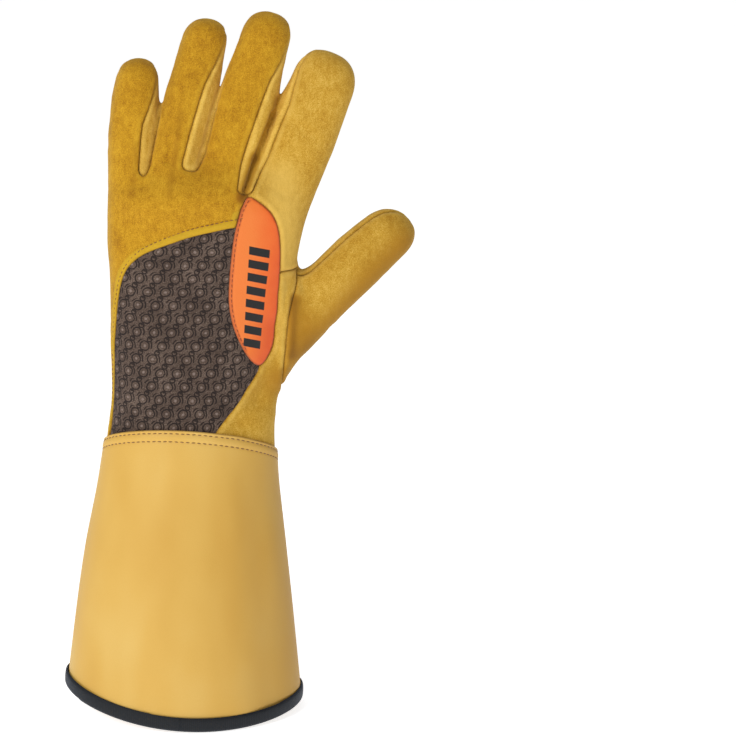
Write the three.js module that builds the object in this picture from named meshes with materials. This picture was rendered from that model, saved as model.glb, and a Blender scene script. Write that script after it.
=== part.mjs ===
// Rose pruning gauntlet: a left-hand leather work glove with a long flared cuff.
// The back of the hand faces -Y, the palm +Y, the thumb +X and the fingertips +Z.
// The origin is the middle of the wrist, at the seam between hand and cuff.
// The hand is one smooth form, a smooth union of a palm and five digits, that is
// meshed on a grid fanned out along the fingers, cut into its leather pieces along
// the seams, and thickened inwards.

import * as THREE from 'three';

// Driving dimensions, millimetres and degrees

const palmLength = 125;
const palmWidth = 102.5;
const palmDepth = 42;
const palmLean = 9.2;
const palmCap = 27;
const wristShare = 0.907;
const wristWidth = palmWidth * wristShare;
const wristDepth = 58;
const cuffLength = 147;
const rimWidth = 129.5;
const rimDepth = 92;
const cuffLean = -4.4;

const pinkyLength = 88.5;
const pinkyWidth = 28.5;
const ringLength = 113.5;
const ringWidth = 28;
const middleLength = 123;
const middleWidth = 32;
const indexLength = 115;
const indexWidth = 38;
const thumbLength = 108;
const thumbWidth = 32;
const fingerDepth = 26;

const leatherWall = 1.5;
const cuffWall = 1.6;
const seamGap = 0.35;
const fingerBlend = 3;
const knuckleBlend = 8;
const thumbBlend = 12;

const hemOverlap = 9;
const hemBand = 9;
const hemRise = 0.3;
const backLift = 14;
const palmDrop = 11;
const hemTilt = 3;
const hemLevel = -5;
const rimDip = 8;
const rimTilt = 4.5;
const lapWidth = 7;
const lapRise = 0.9;
const bindingHeight = 5.5;
const bindingWall = 1;
const tapeGap = 0.45;
const tagWidth = 4.5;
const tagLength = 25;
const tagWall = 0.8;

// Mesh resolution: columns across each finger and steps down and through the hand
const fingerColumns = [4, 4, 5, 6];
const marginColumns = [3, 10];
const marginStep = 6.6;
const depthStep = 6.8;
const heightStep = 9;
const cuffColumns = 36;
const cuffRows = 8;

const deg = Math.PI / 180;

// Interpolation: a smooth curve through the rows of a table, by its first column

function alongTable(rows, place, column, at) {
  const last = rows.length - 1;
  if (at <= rows[0][place]) return rows[0][column];
  if (at >= rows[last][place]) return rows[last][column];
  let i = 0;
  while (at > rows[i + 1][place]) i += 1;
  const slope = (j) => {
    const low = Math.max(j - 1, 0);
    const high = Math.min(j + 1, last);
    return (rows[high][column] - rows[low][column]) / (rows[high][place] - rows[low][place]);
  };
  const span = rows[i + 1][place] - rows[i][place];
  const t = (at - rows[i][place]) / span;
  const t2 = t * t;
  const t3 = t2 * t;
  return (2 * t3 - 3 * t2 + 1) * rows[i][column] + (t3 - 2 * t2 + t) * span * slope(i)
    + (3 * t2 - 2 * t3) * rows[i + 1][column] + (t3 - t2) * span * slope(i + 1);
}

function smoothStep(low, high, at) {
  const t = Math.min(Math.max((at - low) / (high - low), 0), 1);
  return t * t * (3 - 2 * t);
}

function smoothMin(a, b, blend) {
  const h = Math.max(blend - Math.abs(a - b), 0) / blend;
  return Math.min(a, b) - h * h * blend / 4;
}

// Palm and cuff sections. Level is -1 at the rim, 0 at the wrist and 1 at the knuckles.
// Width and depth run from 0 at the wrist to 1 at the rim or the palm, lean is a share of
// the sideways shift, and square is the exponent of the rounded section.

const sectionTable = [
  { level: -1, width: 1, depth: 1, lean: 1, square: 2 },
  { level: -0.67, width: 0.71, depth: 0.74, lean: 0.85, square: 2 },
  { level: -0.42, width: 0.44, depth: 0.5, lean: 0.6, square: 2 },
  { level: -0.17, width: 0.13, depth: 0.19, lean: 0.25, square: 2 },
  { level: 0, width: 0, depth: 0, lean: 0.05, square: 2 },
  { level: 0.13, width: -0.1, depth: 0.27, lean: 0.2, square: 2.05 },
  { level: 0.25, width: -0.03, depth: 0.5, lean: 0.31, square: 2.15 },
  { level: 0.48, width: 0.4, depth: 0.82, lean: 0.54, square: 2.3 },
  { level: 0.76, width: 0.88, depth: 1, lean: 0.83, square: 2.4 },
  { level: 1, width: 0.6, depth: 1.06, lean: 1.1, square: 2.4 },
];

const bodyRows = sectionTable.map((row) => {
  const cuff = row.level < 0;
  const farWidth = cuff ? rimWidth : palmWidth;
  const farDepth = cuff ? rimDepth : palmDepth;
  return {
    z: row.level * (cuff ? cuffLength : palmLength),
    halfWidth: (wristWidth + (farWidth - wristWidth) * row.width) / 2,
    halfDepth: (wristDepth + (farDepth - wristDepth) * row.depth) / 2,
    middle: row.lean * (cuff ? cuffLean : palmLean),
    square: row.square,
  };
});

function bodySection(z) {
  return {
    halfWidth: alongTable(bodyRows, 'z', 'halfWidth', z),
    halfDepth: alongTable(bodyRows, 'z', 'halfDepth', z),
    middle: alongTable(bodyRows, 'z', 'middle', z),
    square: alongTable(bodyRows, 'z', 'square', z),
  };
}

// Rounded section distance: how far a point lies outside a tapering oval with a domed end
function ovalDistance(across, through, beyond, halfWidth, halfDepth, dome, square) {
  const x = Math.abs(across) / halfWidth;
  const y = Math.abs(through) / halfDepth;
  const z = Math.max(beyond, 0) / dome;
  const sum = x ** square + y ** square + z ** square;
  const reach = Math.max(sum, 1e-9) ** (1 / square);
  const gradX = x ** (square - 1) / halfWidth;
  const gradY = y ** (square - 1) / halfDepth;
  const gradZ = z ** (square - 1) / dome;
  const steep = Math.hypot(gradX, gradY, gradZ) / reach ** (square - 1);
  return (reach - 1) / Math.max(steep, 1 / (halfWidth + halfDepth));
}

function bodyDistance(p) {
  const section = bodySection(p.z);
  const beyond = p.z - palmLength;
  return ovalDistance(p.x - section.middle, p.y, beyond,
    section.halfWidth, section.halfDepth, palmCap, section.square);
}

// Angle round the hand: 0 at the middle of the back, 90 at the thumb edge, 180 at the palm
function bodyAngle(p) {
  const section = bodySection(p.z);
  const x = (p.x - section.middle) / section.halfWidth;
  const y = p.y / section.halfDepth;
  return Math.atan2(x, -y) / deg;
}

// Digits. Root is where the axis starts in the hand, as shares of half the palm's width and
// of its length. Lean tips the digit towards the thumb. Bow bends it sideways. RootIn and tipIn
// say how far towards the palm its axis starts and ends, as shares of its depth, and
// slim is the share of its width that the outer side loses towards the tip.

const digits = [
  { name: 'pinky', rootAcross: -0.588, rootUp: 0.96, length: pinkyLength, width: pinkyWidth,
    lean: 0.5, bow: 0, rootIn: 0.1, tipIn: 0.36, slim: 0.1 },
  { name: 'ring', rootAcross: -0.305, rootUp: 0.96, length: ringLength, width: ringWidth,
    lean: 13.4, bow: 0, rootIn: 0, tipIn: 0.26, slim: 0.065 },
  { name: 'middle', rootAcross: 0.246, rootUp: 0.92, length: middleLength, width: middleWidth,
    lean: 14.9, bow: 0, rootIn: -0.05, tipIn: 0.22, slim: 0.075 },
  { name: 'index', rootAcross: 0.707, rootUp: 0.84, length: indexLength, width: indexWidth,
    lean: 21.9, bow: 0, rootIn: 0, tipIn: 0.2, slim: 0 },
  { name: 'thumb', rootAcross: 0.82, rootUp: 0.367, length: thumbLength, width: thumbWidth,
    lean: 46.5, bow: 0.08, rootIn: 0.12, tipIn: 0.62, slim: 0 },
];

// Shape along a digit, as shares of its length, width and depth
const digitProfile = [
  { along: 0, width: 0.99, depth: 1.12 },
  { along: 0.35, width: 1, depth: 1.03 },
  { along: 0.7, width: 0.98, depth: 0.97 },
  { along: 1, width: 0.85, depth: 0.86 },
];
const digitSquare = 2.25;
const rootDome = 34;
const tipRound = 1.02;
const slimFrom = 0.5;
const slimTo = 0.95;

digits.forEach((digit) => {
  digit.axis = new THREE.Vector3(Math.sin(digit.lean * deg), 0, Math.cos(digit.lean * deg));
  digit.side = new THREE.Vector3(Math.cos(digit.lean * deg), 0, -Math.sin(digit.lean * deg));
  digit.root = new THREE.Vector3(digit.rootAcross * palmWidth / 2, 0, digit.rootUp * palmLength);
});

const [pinky, ring, middle, index, thumb] = digits;

// A point in a digit's own terms: along it, across it, through it, and the section there
function inDigit(digit, p) {
  const dx = p.x - digit.root.x;
  const dz = p.z - digit.root.z;
  const along = dx * digit.axis.x + dz * digit.axis.z;
  const share = Math.min(Math.max(along / digit.length, 0), 1);
  const bow = digit.bow * digit.width * 4 * share * (1 - share);
  const inwards = fingerDepth * (digit.rootIn + (digit.tipIn - digit.rootIn) * share ** 1.7);
  const loss = digit.slim * digit.width / 2 * smoothStep(slimFrom, slimTo, share);
  return {
    along,
    share,
    across: dx * digit.side.x + dz * digit.side.z + bow - loss,
    through: p.y - inwards,
    halfWidth: digit.width / 2 * alongTable(digitProfile, 'along', 'width', share) - loss,
    halfDepth: fingerDepth / 2 * alongTable(digitProfile, 'along', 'depth', share),
  };
}

function digitDistance(digit, p) {
  const own = inDigit(digit, p);
  const tipDome = own.halfWidth * tipRound;
  const beyond = own.along > 0 ? own.along - digit.length + tipDome : -own.along;
  const dome = own.along > 0 ? tipDome : rootDome;
  return ovalDistance(own.across, own.through, beyond, own.halfWidth, own.halfDepth, dome, digitSquare);
}

// Angle round a digit: 0 at its back, positive towards the thumb, 180 at its front
function digitAngle(digit, p) {
  const own = inDigit(digit, p);
  return Math.atan2(own.across / own.halfWidth, -own.through / own.halfDepth) / deg;
}

// Dents, swells and folds of the leather, each a soft groove along a line seen from the front.
// Places are shares of half the palm's width and of its length, spread a share of the width,
// depth a share of the palm's depth, and face 1 lies on the palm, -1 on the back.

const foldTable = [
  { face: 1, x0: 0.05, z0: 0.36, x1: 0.1, z1: 0.72, spread: 0.22, depth: 0.1 },
  { face: 1, x0: 0.62, z0: 0.34, x1: 0.9, z1: 0.56, spread: 0.16, depth: -0.13 },
  { face: 1, x0: -0.56, z0: 0.3, x1: -0.56, z1: 0.55, spread: 0.15, depth: -0.07 },
  { face: 1, x0: -0.6, z0: 0.94, x1: 0.62, z1: 0.98, spread: 0.08, depth: -0.05 },
  { face: -1, x0: 0.72, z0: 0.2, x1: 0.94, z1: 0.5, spread: 0.07, depth: 0.06 },
  { face: -1, x0: 0.55, z0: 0.1, x1: 0.86, z1: 0.22, spread: 0.06, depth: 0.05 },
  { face: -1, x0: -0.5, z0: 1.06, x1: 0.3, z1: 1.09, spread: 0.1, depth: -0.05 },
];

function segmentDistance(x, z, x0, z0, x1, z1) {
  const dx = x1 - x0;
  const dz = z1 - z0;
  const t = Math.min(Math.max(((x - x0) * dx + (z - z0) * dz) / (dx * dx + dz * dz), 0), 1);
  return Math.hypot(x - x0 - t * dx, z - z0 - t * dz);
}

function foldDepth(p) {
  let total = 0;
  for (const fold of foldTable) {
    const half = palmWidth / 2;
    const away = segmentDistance(p.x, p.z, fold.x0 * half, fold.z0 * palmLength,
      fold.x1 * half, fold.z1 * palmLength) / (fold.spread * palmWidth);
    const facing = smoothStep(-0.05, 0.3, fold.face * p.y / palmDepth);
    total += fold.depth * palmDepth * facing * Math.exp(-away * away);
  }
  return total;
}

// The whole hand: fingers joined with a tight blend, then to the palm and thumb with wide ones
function handDistance(p) {
  let fingers = digitDistance(pinky, p);
  fingers = smoothMin(fingers, digitDistance(ring, p), fingerBlend);
  fingers = smoothMin(fingers, digitDistance(middle, p), fingerBlend);
  fingers = smoothMin(fingers, digitDistance(index, p), fingerBlend);
  const palm = smoothMin(fingers, bodyDistance(p), knuckleBlend);
  return smoothMin(palm, digitDistance(thumb, p), thumbBlend) + foldDepth(p);
}

function slopeOf(field, p) {
  const h = 0.05;
  const q = p.clone();
  const slope = new THREE.Vector3();
  for (const axis of ['x', 'y', 'z']) {
    q[axis] = p[axis] + h;
    const high = field(q);
    q[axis] = p[axis] - h;
    slope[axis] = (high - field(q)) / (2 * h);
    q[axis] = p[axis];
  }
  return slope;
}

function settleOn(field, p, steps) {
  for (let i = 0; i < steps; i += 1) {
    const slope = slopeOf(field, p);
    const push = Math.min(Math.max(field(p) / Math.max(slope.lengthSq(), 0.05), -3), 3);
    p.addScaledVector(slope, -push);
  }
  return p;
}

// Grid lines fan out with the fingers: a line runs down each gap between two fingers
function digitEdge(digit, z, sign) {
  const level = Math.max(z, palmLength);
  const along = (level - digit.root.z) / digit.axis.z;
  const share = Math.min(Math.max(along / digit.length, 0), 1);
  const half = digit.width / 2 * alongTable(digitProfile, 'along', 'width', share);
  return digit.root.x + along * digit.axis.x + sign * half / digit.axis.z;
}

function gridLines(z) {
  const fingers = [pinky, ring, middle, index];
  const stops = [digitEdge(pinky, z, -1)];
  for (let i = 0; i < 3; i += 1) {
    stops.push((digitEdge(fingers[i], z, 1) + digitEdge(fingers[i + 1], z, -1)) / 2);
  }
  stops.push(digitEdge(index, z, 1));
  const lines = [];
  for (let i = marginColumns[0]; i > 0; i -= 1) lines.push(stops[0] - i * marginStep);
  for (let lane = 0; lane < 4; lane += 1) {
    const columns = fingerColumns[lane];
    for (let i = 0; i < columns; i += 1) {
      lines.push(stops[lane] + (stops[lane + 1] - stops[lane]) * i / columns);
    }
  }
  for (let i = 0; i <= marginColumns[1]; i += 1) lines.push(stops[4] + i * marginStep);
  return lines;
}

// Mesh of the form: one point in each grid cell that the surface passes through, one square
// for each grid edge that it crosses
function meshForm(field, lowZ, highZ) {
  const depthCount = 2 * Math.ceil(46 / depthStep) + 1;
  const heightCount = Math.ceil((highZ - lowZ) / heightStep) + 1;
  const nodes = [];
  for (let k = 0; k < heightCount; k += 1) {
    const z = lowZ + (highZ - lowZ) * k / (heightCount - 1);
    const lines = gridLines(z);
    nodes.push([...Array(depthCount).keys()].map((j) => lines.map((x) => {
      const p = new THREE.Vector3(x, (j - (depthCount - 1) / 2) * depthStep, z);
      return { p, value: field(p) };
    })));
  }
  const width = nodes[0][0].length;
  const points = [];
  const cellPoint = new Map();
  const cellKey = (i, j, k) => (k * depthCount + j) * width + i;
  const corners = [0, 1, 2, 3, 4, 5, 6, 7].map((c) => [c & 1, (c >> 1) & 1, (c >> 2) & 1]);
  for (let k = 0; k < heightCount - 1; k += 1) {
    for (let j = 0; j < depthCount - 1; j += 1) {
      for (let i = 0; i < width - 1; i += 1) {
        const box = corners.map(([a, b, c]) => nodes[k + c][j + b][i + a]);
        const middlePoint = new THREE.Vector3();
        let crossings = 0;
        for (let a = 0; a < 8; a += 1) {
          for (const bit of [1, 2, 4]) {
            const b = a | bit;
            if (b === a || (box[a].value < 0) === (box[b].value < 0)) continue;
            const t = box[a].value / (box[a].value - box[b].value);
            middlePoint.add(box[a].p.clone().lerp(box[b].p, t));
            crossings += 1;
          }
        }
        if (crossings === 0) continue;
        cellPoint.set(cellKey(i, j, k), points.length);
        points.push(settleOn(field, middlePoint.divideScalar(crossings), 5));
      }
    }
  }
  const faces = [];
  const addSquare = (a, b, c, d, outwards) => {
    const ring4 = [a, b, c, d].map((key) => cellPoint.get(key));
    if (ring4.some((n) => n === undefined)) return;
    const [p, q, r, s] = outwards ? ring4 : ring4.reverse();
    const straight = points[p].distanceTo(points[r]) <= points[q].distanceTo(points[s]);
    if (straight) faces.push([p, q, r], [p, r, s]);
    else faces.push([p, q, s], [q, r, s]);
  };
  for (let k = 0; k < heightCount; k += 1) {
    for (let j = 0; j < depthCount; j += 1) {
      for (let i = 0; i < width; i += 1) {
        const here = nodes[k][j][i].value < 0;
        if (i + 1 < width && j > 0 && k > 0 && here !== nodes[k][j][i + 1].value < 0) {
          addSquare(cellKey(i, j - 1, k - 1), cellKey(i, j, k - 1), cellKey(i, j, k),
            cellKey(i, j - 1, k), here);
        }
        if (j + 1 < depthCount && i > 0 && k > 0 && here !== nodes[k][j + 1][i].value < 0) {
          addSquare(cellKey(i - 1, j, k - 1), cellKey(i - 1, j, k), cellKey(i, j, k),
            cellKey(i, j, k - 1), here);
        }
        if (k + 1 < heightCount && i > 0 && j > 0 && here !== nodes[k + 1][j][i].value < 0) {
          addSquare(cellKey(i - 1, j - 1, k), cellKey(i, j - 1, k), cellKey(i, j, k),
            cellKey(i - 1, j, k), here);
        }
      }
    }
  }
  return { points, faces };
}

// Seams. Each is a field that is positive on the side of the piece that it cuts out.

// Seam beside each finger, as the angle from its back at the root and the tip
const seamTable = {
  pinky: { left: 98, rightRoot: 9, rightTip: 48, front: 138 },
  ring: { left: 86, rightRoot: 15, rightTip: 46, front: 136 },
  middle: { left: 84, rightRoot: 17, rightTip: 60, front: 136 },
  index: { left: 42, rightRoot: 0, rightTip: 0, front: 132 },
};
const tipSeamAngle = 100;
const tipSeamSpan = 8;

// The gusset between two fingers ends in a round foot, lower on the back than on the palm
const gussetTable = [
  { left: pinky, right: ring, backFoot: 1.17, palmFoot: 1.2 },
  { left: ring, right: middle, backFoot: 1.2, palmFoot: 1.2 },
  { left: middle, right: index, backFoot: 1.1, palmFoot: 1.14 },
];

function besideFinger(digit, p, sign) {
  const own = inDigit(digit, p);
  const seam = seamTable[digit.name];
  const angle = sign * digitAngle(digit, p);
  const right = seam.rightRoot + (seam.rightTip - seam.rightRoot) * own.share ** 3;
  const back = sign > 0 ? right : seam.left;
  const arc = Math.min(angle - back, seam.front - angle) * deg * digit.width / 2;
  return Math.min(arc, digit.length - tipSeamSpan - own.along);
}

function gussetField(gusset) {
  return (p) => {
    const nearness = digitDistance(gusset.right, p) - digitDistance(gusset.left, p);
    const share = smoothStep(-4, 4, nearness);
    const arc = besideFinger(gusset.left, p, 1) * share + besideFinger(gusset.right, p, -1) * (1 - share);
    const onPalm = smoothStep(-0.3, 0.3, p.y / palmDepth);
    const foot = (gusset.backFoot + (gusset.palmFoot - gusset.backFoot) * onPalm) * palmLength;
    return Math.min(arc, p.z - foot);
  };
}

// Seam down the outer edge of the hand, as angles round the hand at shares of the palm length
const outerSeam = [
  { up: -0.15, around: -128 },
  { up: 0.15, around: -127 },
  { up: 0.26, around: -118 },
  { up: 0.4, around: -104 },
  { up: 0.6, around: -97 },
  { up: 1, around: -98 },
];

// Seam from the wrist to the thumb, on the palm side
const innerSeam = [
  { up: -0.2, around: 131 },
  { up: 0.02, around: 127 },
  { up: 0.1, around: 121 },
  { up: 0.19, around: 111 },
  { up: 0.3, around: 102 },
  { up: 1, around: 100 },
];

function nearestFinger(p) {
  let best = pinky;
  for (const digit of [ring, middle, index]) {
    if (digitDistance(digit, p) < digitDistance(best, p)) best = digit;
  }
  return best;
}

// Seam across the root of the thumb on the back, as shares of half the palm's width
const thumbSeam = [
  { up: 0.22, across: 1 },
  { up: 0.38, across: 1.03 },
  { up: 0.52, across: 1.055 },
  { up: 0.61, across: 1.095 },
  { up: 0.69, across: 1.145 },
  { up: 0.8, across: 1.19 },
  { up: 1.1, across: 1.36 },
];
const thumbRidge = 62;
const thumbUnder = 102;

function pastThumbSeam(p) {
  return p.x - alongTable(thumbSeam, 'up', 'across', p.z / palmLength) * palmWidth / 2;
}

function thumbBackField(p) {
  const angle = digitAngle(thumb, p);
  const arc = Math.min(angle + thumbRidge, thumbUnder - angle) * deg * thumbWidth / 2;
  return Math.min(arc, pastThumbSeam(p));
}

// Edge of the index wrap on the back: down its gap, then along the side patch to its foot
const wrapFoot = 0.757;
const wrapRise = 0.03;

function wrapField(p) {
  const gapLine = (digitEdge(middle, p.z, 1) + digitEdge(index, p.z, -1)) / 2;
  const foot = wrapFoot * palmLength + wrapRise * (p.x - palmWidth / 2);
  return Math.min(p.x - gapLine, p.z - foot);
}

// The palm's leather runs from its outer to its inner seam, and up round each fingertip. It
// takes in the index wrap and what lies past the thumb's seam, from its foot to its top.
const fingerFoot = 0.98;
const fingerHeel = 1.18;
const thumbFoot = 0.26;
const thumbTop = 1.1;

function palmField(p) {
  const angle = bodyAngle(p);
  const up = p.z / palmLength;
  const outer = alongTable(outerSeam, 'up', 'around', up) - angle;
  const inner = angle - alongTable(innerSeam, 'up', 'around', up);
  const bodyArc = Math.max(outer, inner) * deg * (palmWidth + palmDepth) / 4;
  const finger = nearestFinger(p);
  const tipArc = (Math.abs(digitAngle(finger, p)) - tipSeamAngle) * deg * finger.width / 2;
  const onFinger = smoothStep(fingerFoot, fingerHeel, up);
  const front = bodyArc * (1 - onFinger) + tipArc * onFinger;
  const thumbSide = up > thumbFoot && up < thumbTop ? pastThumbSeam(p) : -palmWidth;
  return Math.max(front, wrapField(p), thumbSide);
}

// Front pieces of the ring and middle fingers start at a seam across the top of the palm
function frontField(digit, left, right, foot) {
  return (p) => {
    const beside = Math.min(digitDistance(left, p), digitDistance(right, p)) - digitDistance(digit, p);
    return Math.min(beside, p.z - foot * palmLength);
  };
}

// Outlines on the back of the hand, as angles round it and shares of the palm's length
const patchOutline = [
  { around: 27, up: 1.092 }, { around: 34.5, up: 1.06 }, { around: 40, up: 1.018 },
  { around: 44, up: 0.968 }, { around: 46.8, up: 0.9 }, { around: 49.2, up: 0.8 },
  { around: 51.8, up: 0.705 }, { around: 53.6, up: 0.61 }, { around: 54.8, up: 0.565 },
  { around: 57.6, up: 0.515 }, { around: 57.7, up: 0.44 }, { around: 55, up: 0.385 },
  { around: 49.5, up: 0.346 },
  { around: 40, up: 0.362 }, { around: 31, up: 0.419 }, { around: 23, up: 0.509 },
  { around: 18.8, up: 0.59 }, { around: 17, up: 0.66 }, { around: 16.4, up: 0.754 },
  { around: 16.6, up: 0.841 }, { around: 17.3, up: 0.916 }, { around: 18.8, up: 0.98 },
  { around: 21.5, up: 1.045 },
];

const fabricOutline = [
  { around: -78, up: -0.25 }, { around: -77, up: 0.05 }, { around: -74, up: 0.25 },
  { around: -71, up: 0.42 }, { around: -66.5, up: 0.52 }, { around: -62.5, up: 0.61 },
  { around: -57.5, up: 0.7 }, { around: -50.5, up: 0.77 }, { around: -41, up: 0.825 },
  { around: -32, up: 0.857 }, { around: -24, up: 0.88 }, { around: -10, up: 0.916 },
  { around: 5, up: 0.942 }, { around: 17, up: 0.958 }, { around: 30, up: 0.95 },
  { around: 40, up: 0.8 }, { around: 44, up: 0.5 }, { around: 48, up: 0.35 },
  { around: 46, up: 0.3 }, { around: 39.5, up: 0.25 }, { around: 30, up: 0.21 },
  { around: 18.7, up: 0.148 }, { around: 13, up: 0.1 }, { around: 10.5, up: 0.06 },
  { around: 10, up: 0 }, { around: 10, up: -0.25 },
];

// Signed distance to a closed outline, positive inside, in arc lengths on the hand
function outlineField(outline) {
  const arc = deg * palmWidth / 2;
  const corners = outline.map((row) => ({ x: row.around * arc, z: row.up * palmLength }));
  return (p) => {
    const x = bodyAngle(p) * arc;
    const z = p.z;
    let inside = false;
    let nearest = Infinity;
    corners.forEach((a, i) => {
      const b = corners[(i + 1) % corners.length];
      nearest = Math.min(nearest, segmentDistance(x, z, a.x, a.z, b.x, b.z));
      if (a.z > z !== b.z > z && x < (b.x - a.x) * (z - a.z) / (b.z - a.z) + a.x) inside = !inside;
    });
    return p.y > 0 ? -nearest - p.y : nearest * (inside ? 1 : -1);
  };
}

// Side panel over the wrist, from the fabric's lower edge round past the thumb's root. It lies
// under the fabric and the patch, whose outlines are cut first, so its own lines stay inside them.
const sideInner = 14;
const sideOuter = 42;
const sideFar = 150;
const sideTop = 0.9;

function sideField(p) {
  const angle = bodyAngle(p);
  const up = p.z / palmLength;
  const line = sideInner + (sideOuter - sideInner) * smoothStep(0, 0.3, up);
  const arc = Math.min(angle - line, sideFar - angle) * deg * palmWidth / 2;
  return Math.min(arc, (sideTop - up) * palmLength);
}

// Cuff edges, as heights for an angle round the arm in degrees
function cuffTop(around) {
  const turn = Math.cos(around * deg);
  const lift = turn > 0 ? backLift * turn : palmDrop * turn;
  return hemLevel + lift - hemTilt * Math.sin(around * deg);
}

function cuffRim(around) {
  const turn = Math.cos(around * deg);
  return -cuffLength - rimDip * turn * turn - rimTilt * Math.sin(around * deg);
}

function handFoot(p) {
  return p.z - (cuffTop(bodyAngle(p)) - hemOverlap);
}

// Cutting: triangles carry the name of their piece, and a seam moves those on its positive
// side to a new piece. Points close to the seam are drawn onto it, so that no slivers form.

function edgeKey(a, b) {
  return a < b ? `${a}_${b}` : `${b}_${a}`;
}

function cutPiece(mesh, from, to, field) {
  const own = mesh.faces.filter((face) => face.piece === from);
  const others = mesh.faces.filter((face) => face.piece !== from);
  const value = new Map();
  own.forEach((face) => face.ring.forEach((n) => {
    if (!value.has(n)) value.set(n, field(mesh.points[n]));
  }));
  const uses = new Map();
  own.forEach(({ ring: [a, b, c] }) => [[a, b], [b, c], [c, a]].forEach(([m, n]) => {
    uses.set(edgeKey(m, n), (uses.get(edgeKey(m, n)) || 0) + 1);
  }));
  const rimPoints = new Set();
  uses.forEach((count, key) => {
    if (count === 1) key.split('_').forEach((n) => rimPoints.add(Number(n)));
  });
  const draws = new Map();
  uses.forEach((count, key) => {
    const [a, b] = key.split('_').map(Number);
    if (value.get(a) * value.get(b) >= 0) return;
    const t = value.get(a) / (value.get(a) - value.get(b));
    [[a, b, t], [b, a, 1 - t]].forEach(([n, m, share]) => {
      if (share > 0.28 || (rimPoints.has(n) && count !== 1)) return;
      const move = share * mesh.points[n].distanceTo(mesh.points[m]);
      if (!draws.has(n) || draws.get(n).move > move) draws.set(n, { move, m, share });
    });
  });
  const moved = new Map();
  draws.forEach(({ m, share }, n) => moved.set(n, mesh.points[n].clone().lerp(mesh.points[m], share)));
  moved.forEach((point, n) => {
    mesh.points[n].copy(rimPoints.has(n) ? point : settleOn(handDistance, point, 2));
    value.set(n, 0);
  });
  const middles = new Map();
  const between = (a, b) => {
    const key = edgeKey(a, b);
    if (!middles.has(key)) {
      const t = value.get(a) / (value.get(a) - value.get(b));
      middles.set(key, mesh.points.length);
      mesh.points.push(settleOn(handDistance, mesh.points[a].clone().lerp(mesh.points[b], t), 2));
    }
    return middles.get(key);
  };
  const cut = [];
  own.forEach(({ ring: corners }) => {
    const signs = corners.map((n) => Math.sign(value.get(n)));
    if (!signs.includes(-1) || !signs.includes(1)) {
      const total = signs[0] + signs[1] + signs[2];
      const centre = new THREE.Vector3();
      corners.forEach((n) => centre.addScaledVector(mesh.points[n], 1 / 3));
      const inside = total === 0 ? field(centre) > 0 : total > 0;
      cut.push({ ring: corners, piece: inside ? to : from });
      return;
    }
    const zero = signs.indexOf(0);
    if (zero >= 0) {
      const [a, b, c] = [0, 1, 2].map((i) => corners[(zero + i) % 3]);
      const split = between(b, c);
      cut.push({ ring: [a, b, split], piece: value.get(b) > 0 ? to : from });
      cut.push({ ring: [a, split, c], piece: value.get(c) > 0 ? to : from });
      return;
    }
    const odd = signs.findIndex((sign, i) => sign !== signs[(i + 1) % 3] && sign !== signs[(i + 2) % 3]);
    const [a, b, c] = [0, 1, 2].map((i) => corners[(odd + i) % 3]);
    const ab = between(a, b);
    const ca = between(c, a);
    const alone = signs[odd] > 0 ? to : from;
    const rest = signs[odd] > 0 ? from : to;
    cut.push({ ring: [a, ab, ca], piece: alone });
    if (mesh.points[ab].distanceTo(mesh.points[c]) < mesh.points[b].distanceTo(mesh.points[ca])) {
      cut.push({ ring: [ab, b, c], piece: rest }, { ring: [ab, c, ca], piece: rest });
    } else {
      cut.push({ ring: [ab, b, ca], piece: rest }, { ring: [b, c, ca], piece: rest });
    }
  });
  mesh.faces = others.concat(cut);
}

// Groups of a piece's triangles that hang together by their edges
function islands(faces) {
  const byEdge = new Map();
  faces.forEach(({ ring: [a, b, c] }, i) => [[a, b], [b, c], [c, a]].forEach(([m, n]) => {
    const key = edgeKey(m, n);
    byEdge.set(key, [...(byEdge.get(key) || []), i]);
  }));
  const group = new Array(faces.length).fill(-1);
  let count = 0;
  faces.forEach((face, start) => {
    if (group[start] >= 0) return;
    const open = [start];
    group[start] = count;
    while (open.length) {
      const { ring: [a, b, c] } = faces[open.pop()];
      [[a, b], [b, c], [c, a]].forEach(([m, n]) => byEdge.get(edgeKey(m, n)).forEach((j) => {
        if (group[j] < 0) {
          group[j] = count;
          open.push(j);
        }
      }));
    }
    count += 1;
  });
  return { group, count };
}

// A crumb cut off a piece at a seam joins the neighbour with which it shares most edges
function joinCrumbs(mesh) {
  const pieces = [...new Set(mesh.faces.map((face) => face.piece))];
  pieces.forEach((piece) => {
    const own = mesh.faces.filter((face) => face.piece === piece);
    const { group, count } = islands(own);
    const sizes = new Array(count).fill(0);
    group.forEach((g) => { sizes[g] += 1; });
    const main = sizes.indexOf(Math.max(...sizes));
    for (let g = 0; g < count; g += 1) {
      if (g === main) continue;
      const crumb = own.filter((face, i) => group[i] === g);
      const sides = ({ ring: [a, b, c] }) => [edgeKey(a, b), edgeKey(b, c), edgeKey(c, a)];
      const edges = new Set(crumb.flatMap(sides));
      const votes = new Map();
      mesh.faces.forEach((face) => {
        if (face.piece === piece) return;
        sides(face).forEach((key) => {
          if (edges.has(key)) votes.set(face.piece, (votes.get(face.piece) || 0) + 1);
        });
      });
      const best = [...votes].sort((m, n) => n[1] - m[1])[0];
      if (best) crumb.forEach((face) => { face.piece = best[0]; });
    }
  });
}

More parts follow.
